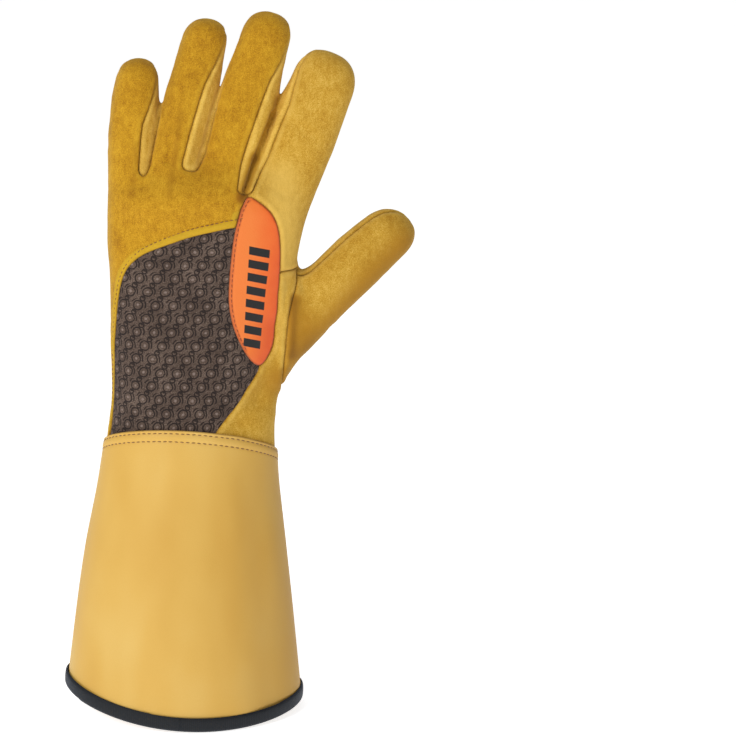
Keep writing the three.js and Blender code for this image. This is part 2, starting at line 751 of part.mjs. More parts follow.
// Solid of a piece: its patch of the form, drawn in by half the seam gap at its edges, and the
// same patch one wall further in
function thickenPiece(mesh, piece, wall) {
  const own = mesh.faces.filter((face) => face.piece === piece);
  const fanOf = new Map();
  const cornersAt = new Map();
  own.forEach((face, i) => face.ring.forEach((n) => cornersAt.set(n, [...(cornersAt.get(n) || []), i])));
  const points = [];
  const normals = [];
  cornersAt.forEach((faceIds, n) => {
    const fans = islands(faceIds.map((id) => {
      const spokes = own[id].ring.filter((m) => m !== n);
      return { ring: [n, spokes[0], spokes[1]] };
    }));
    const copies = [];
    faceIds.forEach((id, i) => {
      const fan = fans.group[i];
      if (copies[fan] === undefined) {
        copies[fan] = points.length;
        points.push(mesh.points[n].clone());
        normals.push(slopeOf(handDistance, mesh.points[n]).normalize());
      }
      fanOf.set(`${id}_${n}`, copies[fan]);
    });
  });
  const faces = own.map((face, id) => face.ring.map((n) => fanOf.get(`${id}_${n}`)));
  const edges = [];
  const used = new Set();
  faces.forEach(([a, b, c]) => [[a, b], [b, c], [c, a]].forEach(([m, n]) => used.add(`${m}_${n}`)));
  used.forEach((key) => {
    const [m, n] = key.split('_').map(Number);
    if (!used.has(`${n}_${m}`)) edges.push([m, n]);
  });
  const pull = new Map();
  edges.forEach(([m, n]) => {
    const along = points[n].clone().sub(points[m]).normalize();
    [m, n].forEach((k) => {
      const inward = normals[k].clone().cross(along).normalize();
      pull.set(k, [...(pull.get(k) || []), inward]);
    });
  });
  pull.forEach((list, k) => {
    const sum = list.reduce((total, v) => total.add(v), new THREE.Vector3());
    const bend = Math.max(sum.lengthSq() / (2 * list.length), 0.35);
    points[k].addScaledVector(sum, seamGap / 2 / list.length / bend);
  });
  const inner = points.map((point, k) => point.clone().addScaledVector(normals[k], -wall));
  const count = points.length;
  const triangles = [];
  faces.forEach(([a, b, c]) => triangles.push(a, b, c, count + a, count + c, count + b));
  edges.forEach(([m, n]) => {
    if (points[m].distanceTo(inner[n]) < points[n].distanceTo(inner[m])) {
      triangles.push(m, count + m, count + n, m, count + n, n);
    } else {
      triangles.push(m, count + m, n, n, count + m, count + n);
    }
  });
  return solidGeometry(points.concat(inner), triangles);
}

function solidGeometry(points, triangles) {
  const geometry = new THREE.BufferGeometry();
  const flat = points.flatMap((point) => [point.x, point.y, point.z]);
  geometry.setAttribute('position', new THREE.Float32BufferAttribute(flat, 3));
  geometry.setIndex(triangles);
  geometry.computeVertexNormals();
  return geometry;
}

// Solid of a closed profile carried round a loop or along a strip of stations
function sweepProfile(stations, closedLoop) {
  const size = stations[0].length;
  const triangles = [];
  const steps = closedLoop ? stations.length : stations.length - 1;
  for (let i = 0; i < steps; i += 1) {
    const next = (i + 1) % stations.length;
    for (let j = 0; j < size; j += 1) {
      const a = i * size + j;
      const b = i * size + (j + 1) % size;
      const c = next * size + (j + 1) % size;
      const d = next * size + j;
      triangles.push(a, b, c, a, c, d);
    }
  }
  if (!closedLoop) {
    const end = (stations.length - 1) * size;
    for (let j = 1; j < size - 1; j += 1) {
      triangles.push(0, j + 1, j, end, end + j, end + j + 1);
    }
  }
  return solidGeometry(stations.flat(), triangles);
}

// A point on the arm's section at an angle and height, lifted outwards
function onArm(around, z, lift) {
  const section = bodySection(z);
  const p = new THREE.Vector3(
    section.middle + section.halfWidth * Math.sin(around * deg),
    -section.halfDepth * Math.cos(around * deg),
    z,
  );
  for (let i = 0; i < 3; i += 1) {
    const slope = slopeOf(handDistance, p).setZ(0);
    p.addScaledVector(slope, -handDistance(p) / slope.lengthSq());
  }
  return p.addScaledVector(slopeOf(handDistance, p).normalize(), lift);
}

// Extra thickness where the ends of the cuff lap over each other, at an angle round the arm
function lapAt(around) {
  const lapAngle = outerSeam[0].around;
  const arc = Math.abs(((around - lapAngle) % 360 + 540) % 360 - 180) * deg * wristWidth / 2;
  return arc < lapWidth ? lapRise * (1 - arc / lapWidth) : 0;
}

// Cuff: a flared sleeve with a turned hem at its top and a lapped seam down its outer side
function cuffGeometry() {
  const stations = [];
  for (let i = 0; i < cuffColumns; i += 1) {
    const around = 360 * i / cuffColumns;
    const lap = lapAt(around);
    const top = cuffTop(around);
    const rim = cuffRim(around);
    const outside = [];
    const inside = [];
    for (let k = 0; k <= cuffRows; k += 1) {
      const z = top - hemBand + (rim - top + hemBand) * k / cuffRows;
      outside.push(onArm(around, z, seamGap + cuffWall + lap));
      inside.push(onArm(around, z, seamGap));
    }
    const hemLift = seamGap + cuffWall + hemRise + lap;
    const hem = [onArm(around, top, hemLift), onArm(around, top - hemBand + hemRise, hemLift)];
    stations.push([onArm(around, top, seamGap), ...hem, ...outside, ...inside.reverse()]);
  }
  return sweepProfile(stations, true);
}

// Binding: a tape folded over the rim of the cuff
function bindingGeometry() {
  const inner = seamGap - tapeGap;
  const stations = [];
  for (let i = 0; i < cuffColumns; i += 1) {
    const around = 360 * i / cuffColumns;
    const outer = seamGap + cuffWall + tapeGap + lapAt(around);
    const rim = cuffRim(around);
    const tape = [
      [outer, bindingHeight], [outer + bindingWall * 0.9, bindingHeight - bindingWall * 0.3],
      [outer + bindingWall, 0], [outer + bindingWall * 0.4, -seamGap - bindingWall],
      [inner - bindingWall * 0.4, -seamGap - bindingWall], [inner - bindingWall, 0],
      [inner - bindingWall * 0.9, bindingHeight - bindingWall * 0.3], [inner, bindingHeight],
      [inner, -seamGap], [outer, -seamGap],
    ];
    stations.push(tape.map(([lift, height]) => onArm(around, rim + height, lift)));
  }
  return sweepProfile(stations, true);
}

// Tag: a narrow strip of webbing caught in the outer seam just above the cuff
function tagGeometry() {
  const rows = 6;
  const stations = [];
  for (let k = 0; k <= rows; k += 1) {
    const seam = alongTable(outerSeam, 'up', 'around', 0);
    const halfAngle = tagWidth / wristWidth / deg;
    const left = seam + 2.4 * halfAngle;
    const right = seam + 0.4 * halfAngle;
    const foot = Math.max(cuffTop(left), cuffTop(right)) + 3 * seamGap;
    const z = foot + tagLength * k / rows;
    stations.push([
      onArm(left, z, seamGap), onArm(right, z, seamGap),
      onArm(right, z, seamGap + tagWall), onArm(left, z, seamGap + tagWall),
    ]);
  }
  return sweepProfile(stations, false);
}

// Pieces of the hand, cut in turn from one skin

function cutHand() {
  const lowZ = hemLevel - palmDrop - hemOverlap - heightStep;
  const tips = digits.map((digit) => digit.root.z + digit.length * digit.axis.z);
  const skin = meshForm(handDistance, lowZ, Math.max(...tips) + heightStep);
  const waste = skin.faces.map((corners) => ({ ring: corners, piece: 'waste' }));
  const mesh = { points: skin.points, faces: waste };
  cutPiece(mesh, 'waste', 'back_leather', handFoot);
  mesh.faces = mesh.faces.filter((face) => face.piece !== 'waste');
  cutPiece(mesh, 'back_leather', 'gusset_pinky_ring', gussetField(gussetTable[0]));
  cutPiece(mesh, 'back_leather', 'gusset_ring_middle', gussetField(gussetTable[1]));
  cutPiece(mesh, 'back_leather', 'gusset_middle_index', gussetField(gussetTable[2]));
  cutPiece(mesh, 'back_leather', 'thumb_back', thumbBackField);
  cutPiece(mesh, 'back_leather', 'side_patch', outlineField(patchOutline));
  cutPiece(mesh, 'back_leather', 'palm_leather', palmField);
  cutPiece(mesh, 'palm_leather', 'ring_front', frontField(ring, pinky, middle, 1));
  cutPiece(mesh, 'palm_leather', 'middle_front', frontField(middle, ring, index, 1.05));
  cutPiece(mesh, 'back_leather', 'back_fabric', outlineField(fabricOutline));
  cutPiece(mesh, 'back_leather', 'side_panel', sideField);
  joinCrumbs(mesh);
  return mesh;
}

const mustardLeather = { color: 0xc4961e, roughness: 0.75, metalness: 0 };
const tanSuede = { color: 0xd0a844, roughness: 0.9, metalness: 0 };
const palmSuede = { color: 0xc8aa3c, roughness: 0.9, metalness: 0 };
const cuffLeather = { color: 0xdeb866, roughness: 0.55, metalness: 0 };
const brownFabric = { color: 0x4c3a38, roughness: 0.85, metalness: 0 };
const orangeLeather = { color: 0xf27028, roughness: 0.6, metalness: 0 };
const blackTape = { color: 0x0c1014, roughness: 0.7, metalness: 0 };

const handPieces = [
  { name: 'back_leather', finish: mustardLeather },
  { name: 'back_fabric', finish: brownFabric },
  { name: 'side_patch', finish: orangeLeather },
  { name: 'side_panel', finish: palmSuede },
  { name: 'palm_leather', finish: palmSuede },
  { name: 'ring_front', finish: palmSuede },
  { name: 'middle_front', finish: palmSuede },
  { name: 'gusset_pinky_ring', finish: tanSuede },
  { name: 'gusset_ring_middle', finish: tanSuede },
  { name: 'gusset_middle_index', finish: tanSuede },
  { name: 'thumb_back', finish: palmSuede },
];

const glove = new THREE.Group();

function addPiece(name, geometry, finish) {
  const mesh = new THREE.Mesh(geometry, new THREE.MeshStandardMaterial(finish));
  mesh.name = name;
  glove.add(mesh);
}

const hand = cutHand();
for (const { name, finish } of handPieces) {
  addPiece(name, thickenPiece(hand, name, leatherWall), finish);
}
addPiece('cuff', cuffGeometry(), cuffLeather);
addPiece('rim_binding', bindingGeometry(), blackTape);
addPiece('side_tag', tagGeometry(), orangeLeather);

export default glove;
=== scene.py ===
# Rose pruning gauntlet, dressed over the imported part: sewn leather panels worked out from the
# same form as the solids, with rolled seams, stitches, a bound cuff and a printed back.
import math
import bpy
import numpy as np
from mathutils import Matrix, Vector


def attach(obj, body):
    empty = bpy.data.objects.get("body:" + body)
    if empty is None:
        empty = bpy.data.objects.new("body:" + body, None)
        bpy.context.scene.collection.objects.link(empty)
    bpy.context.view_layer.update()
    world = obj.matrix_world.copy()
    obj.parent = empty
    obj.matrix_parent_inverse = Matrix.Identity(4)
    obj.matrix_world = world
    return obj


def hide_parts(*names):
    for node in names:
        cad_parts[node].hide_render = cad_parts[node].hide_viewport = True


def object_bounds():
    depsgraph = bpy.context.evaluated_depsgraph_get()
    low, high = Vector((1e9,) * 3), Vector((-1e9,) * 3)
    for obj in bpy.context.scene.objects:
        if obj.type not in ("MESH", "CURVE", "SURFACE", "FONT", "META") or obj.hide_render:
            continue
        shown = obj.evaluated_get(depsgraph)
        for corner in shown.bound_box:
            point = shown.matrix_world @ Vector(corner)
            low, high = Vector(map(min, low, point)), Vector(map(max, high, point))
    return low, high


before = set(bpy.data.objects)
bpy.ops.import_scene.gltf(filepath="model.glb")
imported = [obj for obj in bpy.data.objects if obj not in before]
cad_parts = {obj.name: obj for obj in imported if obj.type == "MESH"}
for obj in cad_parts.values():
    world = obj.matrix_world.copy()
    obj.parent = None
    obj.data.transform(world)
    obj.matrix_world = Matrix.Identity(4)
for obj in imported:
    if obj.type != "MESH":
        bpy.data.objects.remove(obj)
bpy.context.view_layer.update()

degree = math.pi / 180
milli = 0.001
mapUnit = 100  # millimetres to one unit of a piece's own map
rowStep = 0.6  # millimetres between the samples of a stitch row

hand = {  # millimetres, the same sizes as the solids
    "palmLength": 125, "palmWidth": 102.5, "palmDepth": 42, "palmLean": 9.2, "palmCap": 27,
    "wristWidth": 92.97, "wristDepth": 58, "fingerDepth": 26, "digitSquare": 2.25,
    "rootDome": 34, "tipRound": 1.02, "fingerBlend": 3, "knuckleBlend": 8, "thumbBlend": 12,
    "wall": 1.5, "seamGap": 0.12, "slimFrom": 0.5, "slimTo": 0.95,
}
grid = {  # millimetres, and shares of a finger's width and of an edge
    "step": 2.35, "depth": 46, "outerReach": 16, "thumbReach": 62, "below": 3, "above": 4,
    "laneShare": 0.95, "drawnShare": 0.3,
}
cuff = {  # millimetres and degrees
    "length": 147, "rimWidth": 129.5, "rimDepth": 92, "lean": -4.4, "wall": 1.6, "gap": 0.35,
    "hemLevel": -5, "backLift": 14, "palmDrop": 11, "hemTilt": 3, "hemOverlap": 9, "rimDip": 8,
    "rimTilt": 4.5, "lapAngle": -128, "lapWidth": 7, "lapRise": 0.9, "columns": 320, "rows": 110,
    "innerRows": 26, "hemRows": (1.8, 6.2), "rowDip": 0.28, "rowWidth": 0.75, "hemPuff": 0.22,
    "hemDepth": 11, "hemShare": 0.25, "lapStitch": 2.6, "mapRadius": 52, "waveSize": 19, "wave": 0.5,
    "lapRowWidth": 0.8, "puffWidth": 1.9, "edge": 0.9, "edgeDrop": 0.7, "waveStretch": 0.45,
    "fold": (0.8, 48, 9), "hollow": (0.5, 30, 8), "lapRowFrom": (7, 9), "waveFrom": (8, 40),
    "foldFrom": (4, 60), "foldsFrom": (10, 40), "lapStep": 0.5, "lapTail": (2.6, 0.6), "lapRowEnds": (9, 8),
}
bodyTable = {  # level -1 is the rim, 0 the wrist and 1 the knuckles; the rest are shares
    "level": [-1, -0.67, -0.42, -0.17, 0, 0.13, 0.25, 0.48, 0.76, 1],
    "width": [1, 0.71, 0.44, 0.13, 0, -0.1, -0.03, 0.4, 0.88, 0.6],
    "depth": [1, 0.74, 0.5, 0.19, 0, 0.27, 0.5, 0.82, 1, 1.06],
    "lean": [1, 0.85, 0.6, 0.25, 0.05, 0.2, 0.31, 0.54, 0.83, 1.1],
    "square": [2, 2, 2, 2, 2, 2.05, 2.15, 2.3, 2.4, 2.4],
}
digitProfile = {"along": [0, 0.35, 0.7, 1], "width": [0.99, 1, 0.98, 0.85], "depth": [1.12, 1.03, 0.97, 0.86]}


def makeDigit(rootAcross, rootUp, length, width, lean, bow, rootIn, tipIn, slim):
    tip = lean * degree
    root = (rootAcross * hand["palmWidth"] / 2, rootUp * hand["palmLength"])
    return {"root": root, "length": length, "width": width, "bow": bow, "rootIn": rootIn, "tipIn": tipIn,
            "slim": slim, "axis": (math.sin(tip), math.cos(tip)), "side": (math.cos(tip), -math.sin(tip))}


pinky = makeDigit(-0.588, 0.96, 88.5, 28.5, 0.5, 0, 0.1, 0.36, 0.1)
ring = makeDigit(-0.305, 0.96, 113.5, 28, 13.4, 0, 0, 0.26, 0.065)
middle = makeDigit(0.246, 0.92, 123, 32, 14.9, 0, -0.05, 0.22, 0.075)
index = makeDigit(0.707, 0.84, 115, 38, 21.9, 0, 0, 0.2, 0)
thumb = makeDigit(0.82, 0.367, 108, 32, 46.5, 0.08, 0.12, 0.62, 0)
fingers = (pinky, ring, middle, index)


def curveThrough(places, values, at):  # smooth cubic through the rows, flat past both ends
    places = np.asarray(places, float)
    values = np.asarray(values, float)
    last = len(places) - 1
    low = np.maximum(np.arange(last + 1) - 1, 0)
    high = np.minimum(np.arange(last + 1) + 1, last)
    slope = (values[high] - values[low]) / (places[high] - places[low])
    at = np.clip(at, places[0], places[-1])
    i = np.clip(np.searchsorted(places, at, side="right") - 1, 0, last - 1)
    span = places[i + 1] - places[i]
    t = (at - places[i]) / span
    return ((2 * t ** 3 - 3 * t ** 2 + 1) * values[i] + (t ** 3 - 2 * t ** 2 + t) * span * slope[i]
            + (3 * t ** 2 - 2 * t ** 3) * values[i + 1] + (t ** 3 - t ** 2) * span * slope[i + 1])


def smoothStep(low, high, at):
    t = np.clip((at - low) / (high - low), 0, 1)
    return t * t * (3 - 2 * t)


def smoothMin(a, b, blend):
    h = np.maximum(blend - np.abs(a - b), 0) / blend
    return np.minimum(a, b) - h * h * blend / 4


def makeBodyRows():
    level = np.array(bodyTable["level"])
    cuffSide = level < 0
    farWidth = np.where(cuffSide, cuff["rimWidth"], hand["palmWidth"])
    farDepth = np.where(cuffSide, cuff["rimDepth"], hand["palmDepth"])
    return {"z": level * np.where(cuffSide, cuff["length"], hand["palmLength"]),
            "width": (hand["wristWidth"] + (farWidth - hand["wristWidth"]) * bodyTable["width"]) / 2,
            "depth": (hand["wristDepth"] + (farDepth - hand["wristDepth"]) * bodyTable["depth"]) / 2,
            "middle": np.array(bodyTable["lean"]) * np.where(cuffSide, cuff["lean"], hand["palmLean"]),
            "square": np.array(bodyTable["square"])}


bodyRows = makeBodyRows()


def bodySection(z):  # half width, half depth, sideways shift and squareness of the arm at a height
    return [curveThrough(bodyRows["z"], bodyRows[name], z) for name in ("width", "depth", "middle", "square")]


def ovalDistance(across, through, beyond, halfWidth, halfDepth, dome, square):
    # how far outside a domed oval: its rounded reach less one, over the steepness of that reach
    x = np.abs(across) / halfWidth
    y = np.abs(through) / halfDepth
    z = np.maximum(beyond, 0) / dome
    reach = np.maximum(x ** square + y ** square + z ** square, 1e-9) ** (1 / square)
    steep = np.sqrt((x ** (square - 1) / halfWidth) ** 2 + (y ** (square - 1) / halfDepth) ** 2
                    + (z ** (square - 1) / dome) ** 2) / reach ** (square - 1)
    return (reach - 1) / np.maximum(steep, 1 / (halfWidth + halfDepth))


def bodyDistance(p):
    halfWidth, halfDepth, middleX, square = bodySection(p[:, 2])
    beyond = p[:, 2] - hand["palmLength"]
    return ovalDistance(p[:, 0] - middleX, p[:, 1], beyond, halfWidth, halfDepth, hand["palmCap"], square)


def bodyAngle(p):  # 0 at the middle of the back, 90 at the thumb edge, 180 at the palm
    halfWidth, halfDepth, middleX, _ = bodySection(p[:, 2])
    return np.arctan2((p[:, 0] - middleX) / halfWidth, -p[:, 1] / halfDepth) / degree


def inDigit(digit, p):
    dx = p[:, 0] - digit["root"][0]
    dz = p[:, 2] - digit["root"][1]
    along = dx * digit["axis"][0] + dz * digit["axis"][1]
    share = np.clip(along / digit["length"], 0, 1)
    bow = digit["bow"] * digit["width"] * 4 * share * (1 - share)
    inwards = hand["fingerDepth"] * (digit["rootIn"] + (digit["tipIn"] - digit["rootIn"]) * share ** 1.7)
    loss = digit["slim"] * digit["width"] / 2 * smoothStep(hand["slimFrom"], hand["slimTo"], share)
    across = dx * digit["side"][0] + dz * digit["side"][1] + bow - loss
    halfWidth = digit["width"] / 2 * curveThrough(digitProfile["along"], digitProfile["width"], share) - loss
    halfDepth = hand["fingerDepth"] / 2 * curveThrough(digitProfile["along"], digitProfile["depth"], share)
    return along, share, across, p[:, 1] - inwards, halfWidth, halfDepth


def digitDistance(digit, p):
    along, _, across, through, halfWidth, halfDepth = inDigit(digit, p)
    tipDome = halfWidth * hand["tipRound"]
    beyond = np.where(along > 0, along - digit["length"] + tipDome, -along)
    dome = np.where(along > 0, tipDome, hand["rootDome"])
    return ovalDistance(across, through, beyond, halfWidth, halfDepth, dome, hand["digitSquare"])


def digitAngle(digit, p):  # 0 at the digit's back, positive towards the thumb, 180 at its front
    _, _, across, through, halfWidth, halfDepth = inDigit(digit, p)
    return np.arctan2(across / halfWidth, -through / halfDepth) / degree


# soft dents and swells, along lines seen from the front: the face they lie on, the ends as
# shares of half the palm's width and of its length, and their spread and depth as shares
foldTable = [
    (1, 0.05, 0.36, 0.1, 0.72, 0.22, 0.1), (1, 0.62, 0.34, 0.9, 0.56, 0.16, -0.13),
    (1, -0.56, 0.3, -0.56, 0.55, 0.15, -0.07), (1, -0.6, 0.94, 0.62, 0.98, 0.08, -0.05),
    (-1, 0.72, 0.2, 0.94, 0.5, 0.07, 0.06), (-1, 0.55, 0.1, 0.86, 0.22, 0.06, 0.05),
    (-1, -0.5, 1.06, 0.3, 1.09, 0.1, -0.05),
]


def segmentDistance(x, z, x0, z0, x1, z1):
    dx, dz = x1 - x0, z1 - z0
    t = np.clip(((x - x0) * dx + (z - z0) * dz) / (dx * dx + dz * dz), 0, 1)
    return np.hypot(x - x0 - t * dx, z - z0 - t * dz)


def alongLines(table, p, scale, low, high, profile):
    # a profile of the distance to each line, times its strength, on the face that it lies on
    total = np.zeros(len(p))
    half = hand["palmWidth"] / 2
    for face, x0, z0, x1, z1, spread, strength in table:
        ends = (x0 * half, z0 * hand["palmLength"], x1 * half, z1 * hand["palmLength"])
        away = segmentDistance(p[:, 0], p[:, 2], *ends) / (spread * scale)
        facing = smoothStep(low, high, face * p[:, 1]) if face else 1
        total += strength * facing * profile(away)
    return total


def bell(away):
    return np.exp(-away ** 2)


def foldDepth(p):
    low, high = -0.05 * hand["palmDepth"], 0.3 * hand["palmDepth"]
    return hand["palmDepth"] * alongLines(foldTable, p, hand["palmWidth"], low, high, bell)


def handDistance(p):  # the whole hand: fingers joined tightly, then to the palm and the thumb
    joined = digitDistance(pinky, p)
    for digit in fingers[1:]:
        joined = smoothMin(joined, digitDistance(digit, p), hand["fingerBlend"])
    joined = smoothMin(joined, bodyDistance(p), hand["knuckleBlend"])
    return smoothMin(joined, digitDistance(thumb, p), hand["thumbBlend"]) + foldDepth(p)


def slopeOf(field, p):
    reach = 0.05
    steps = np.eye(3) * reach
    return np.stack([(field(p + step) - field(p - step)) / (2 * reach) for step in steps], axis=1)


def settleOn(field, p, rounds):  # Newton steps onto the field's surface
    leastSlope, longest = 0.05, 3
    for _ in range(rounds):
        slope = slopeOf(field, p)
        push = np.clip(field(p) / np.maximum((slope ** 2).sum(1), leastSlope), -longest, longest)
        p = p - slope * push[:, None]
    return p


def unit(v):
    return v / np.maximum(np.linalg.norm(v, axis=-1, keepdims=True), 1e-9)


def softNoise(p, size, seed):  # random values on a lattice of that spacing, smoothly joined, -1 to 1
    span = 64
    lattice = np.random.default_rng(seed).uniform(-1, 1, (span, span, span))
    q = p / size + (10 * span + 0.5)
    cell = np.floor(q).astype(int)
    t = q - cell
    t = t * t * (3 - 2 * t)
    total = np.zeros(len(p))
    for corner in range(8):
        bits = np.array([corner & 1, corner >> 1 & 1, corner >> 2 & 1])
        weight = np.where(bits, t, 1 - t).prod(axis=1)
        x, y, z = ((cell + bits) % span).T
        total += lattice[x, y, z] * weight
    return total


def nearestDistance(p, samples, limit):  # distance to the closest of the samples, up to a limit
    result = np.full(len(p), float(limit))
    close = ((p > samples.min(0) - limit) & (p < samples.max(0) + limit)).all(1)
    ids, batch = np.nonzero(close)[0], 2000
    for start in range(0, len(ids), batch):
        part = ids[start:start + batch]
        gap = ((p[part][:, None, :] - samples[None]) ** 2).sum(2).min(1)
        result[part] = np.minimum(np.sqrt(gap), limit)
    return result


# the hand's skin: one point in each grid cell that the surface passes through, on a grid whose
# columns fan out with the fingers, then every square split in four and settled on the form

def digitEdge(digit, z, sign):
    level = np.maximum(z, hand["palmLength"])
    along = (level - digit["root"][1]) / digit["axis"][1]
    share = np.clip(along / digit["length"], 0, 1)
    half = digit["width"] / 2 * curveThrough(digitProfile["along"], digitProfile["width"], share)
    return digit["root"][0] + along * digit["axis"][0] + sign * half / digit["axis"][1]


def gapLine(left, right, z):
    return (digitEdge(left, z, 1) + digitEdge(right, z, -1)) / 2


def gridColumns(z):
    step = grid["step"]
    stops = [digitEdge(pinky, z, -1), gapLine(pinky, ring, z), gapLine(ring, middle, z),
             gapLine(middle, index, z), digitEdge(index, z, 1)]
    lines = [stops[0] - i * step for i in range(math.ceil(grid["outerReach"] / step), 0, -1)]
    for lane, digit in enumerate(fingers):
        count = math.ceil(digit["width"] * grid["laneShare"] / step)
        lines += [stops[lane] + (stops[lane + 1] - stops[lane]) * i / count for i in range(count)]
    lines += [stops[4] + i * step for i in range(math.ceil(grid["thumbReach"] / step))]
    return np.stack(lines, axis=-1)


def pairsAlong(values, axis):  # the entries but the last along an axis, and those but the first
    ahead = (slice(None),) * axis
    return values[ahead + (slice(0, -1),)], values[ahead + (slice(1, None),)]


def edgeCrossings(points, values, axis):  # per grid edge along an axis: whether and where it crosses
    a, b = pairsAlong(values, axis)
    crosses = (a < 0) != (b < 0)
    share = np.where(crosses, a / np.where(crosses, a - b, 1), 0)[..., None]
    low, high = pairsAlong(points, axis)
    return crosses, (low * (1 - share) + high * share) * crosses[..., None], a < 0


def aroundCells(edges, axis):  # sums over the four edges that a cell has along an axis
    for other in {0, 1, 2} - {axis}:
        low, high = pairsAlong(edges, other)
        edges = low + high
    return edges


def formMesh(field, lowZ, highZ):
    step = grid["step"]
    z = np.linspace(lowZ, highZ, math.ceil((highZ - lowZ) / step))
    columns = gridColumns(z)
    half = math.ceil(grid["depth"] / step)
    y = (np.arange(2 * half + 1) - half) * step
    shape = (len(z), len(y), columns.shape[1])
    points = np.empty(shape + (3,))
    points[..., 0] = columns[:, None, :]
    points[..., 1] = y[None, :, None]
    points[..., 2] = z[:, None, None]
    values = field(points.reshape(-1, 3)).reshape(shape)
    total, count = 0, 0
    crossed = []
    for axis in range(3):
        crosses, place, inside = edgeCrossings(points, values, axis)
        crossed.append((crosses, inside))
        total = total + aroundCells(place, axis)
        count = count + aroundCells(crosses.astype(int), axis)
    active = count > 0
    number = np.full(active.shape, -1)
    number[active] = np.arange(active.sum())
    found = total[active] / count[active][:, None]
    squares = []
    turns = {2: ((-1, -1, 0), (-1, 0, 0), (0, 0, 0), (0, -1, 0)),
             1: ((-1, 0, -1), (0, 0, -1), (0, 0, 0), (-1, 0, 0)),
             0: ((0, -1, -1), (0, -1, 0), (0, 0, 0), (0, 0, -1))}
    for axis, cells in turns.items():
        crosses, inside = crossed[axis]
        place = np.argwhere(crosses)
        limits = np.array(active.shape)
        valid = np.ones(len(place), bool)
        corners = []
        for cell in cells:
            at = place + np.array(cell)
            valid &= ((at >= 0) & (at < limits)).all(1)
            corners.append(np.clip(at, 0, limits - 1))
        ids = np.stack([number[tuple(at.T)] for at in corners], axis=1)
        outward = inside[tuple(place.T)]
        ids = np.where(outward[:, None], ids, ids[:, ::-1])
        squares.append(ids[valid])
    return found, np.concatenate(squares)


def sidesOf(faces):  # the sides of the faces, one block for each place in a face
    count = faces.shape[1]
    return np.concatenate([faces[:, [i, (i + 1) % count]] for i in range(count)])


def sortedSides(faces):
    return np.sort(sidesOf(faces), axis=1)


def relax(field, points, squares, rounds):  # evens the mesh out along the surface
    edges = sidesOf(squares)
    for _ in range(rounds):
        total = np.zeros_like(points)
        count = np.zeros(len(points))
        for a, b in ((0, 1), (1, 0)):
            np.add.at(total, edges[:, a], points[edges[:, b]])
            np.add.at(count, edges[:, a], 1)
        points = settleOn(field, points + 0.5 * (total / count[:, None] - points), 1)
    return points


def splitSquares(points, squares):
    edges, place = np.unique(sortedSides(squares), axis=0, return_inverse=True)
    place = place.reshape(4, -1).T + len(points)
    centre = np.arange(len(squares)) + len(points) + len(edges)
    all4 = np.concatenate([points, points[edges].mean(1), points[squares].mean(1)])
    parts = [np.stack([squares[:, i], place[:, i], centre, place[:, i - 1]], axis=1) for i in range(4)]
    return all4, np.concatenate(parts)


def toTriangles(points, squares):
    a, b, c, d = squares.T
    straight = np.linalg.norm(points[a] - points[c], axis=1) <= np.linalg.norm(points[b] - points[d], axis=1)
    first = np.where(straight[:, None], np.stack([a, b, c], 1), np.stack([a, b, d], 1))
    second = np.where(straight[:, None], np.stack([a, c, d], 1), np.stack([b, c, d], 1))
    return np.concatenate([first, second])


# seams: fields in millimetres, positive on the side of the piece that they cut out

# angle of each seam from the finger's back: on its left, on its right at root and tip, at its front
seamRows = ((98, 9, 48, 138), (86, 15, 46, 136), (84, 17, 60, 136), (42, 0, 0, 132))
for finger, seamRow in zip(fingers, seamRows):
    finger.update(zip(("left", "rightRoot", "rightTip", "front"), seamRow))
seams = {  # millimetres, degrees and shares of the palm's length
    "tipSpan": 4, "taper": 30, "footRound": 4, "tipAngle": 100, "fingerFoot": 0.98, "fingerHeel": 1.18,
    "thumbFoot": 0.26, "thumbTop": 1.1, "thumbRidge": 62, "thumbUnder": 102,
    "wrapFoot": 0.757, "wrapRise": 0.03,
    "sideInner": 14, "sideOuter": 42, "sideFar": 150, "sideTop": 0.9, "sideBend": 0.3,
    "midway": 4, "palmTurn": 0.3,
}
outerSeam = ([-0.15, 0.15, 0.26, 0.4, 0.6, 1], [-128, -127, -118, -104, -97, -98])
innerSeam = ([-0.2, 0.02, 0.1, 0.19, 0.3, 1], [131, 127, 121, 111, 102, 100])
thumbSeam = ([0.22, 0.38, 0.52, 0.61, 0.69, 0.8, 1.1], [1, 1.03, 1.055, 1.095, 1.145, 1.19, 1.36])
patchOutline = [(27, 1.092), (34.5, 1.06), (40, 1.018), (44, 0.968), (46.8, 0.9), (49.2, 0.8),
                (51.8, 0.705), (53.6, 0.61), (54.8, 0.565), (57.6, 0.515), (57.7, 0.44), (55, 0.385),
                (49.5, 0.346), (40, 0.362), (31, 0.419), (23, 0.509), (18.8, 0.59), (17, 0.66),
                (16.4, 0.754), (16.6, 0.841), (17.3, 0.916), (18.8, 0.98), (21.5, 1.045)]
fabricOutline = [(-78, -0.25), (-77, 0.05), (-74, 0.25), (-71, 0.42), (-66.5, 0.52), (-62.5, 0.61),
                 (-57.5, 0.7), (-50.5, 0.77), (-41, 0.825), (-32, 0.857), (-24, 0.88), (-10, 0.916),
                 (5, 0.942), (17, 0.958), (30, 0.95), (40, 0.8), (44, 0.5), (48, 0.35), (46, 0.3),
                 (39.5, 0.25), (30, 0.21), (18.7, 0.148), (13, 0.1), (10.5, 0.06), (10, 0), (10, -0.25)]
arcScale = degree * hand["palmWidth"] / 2


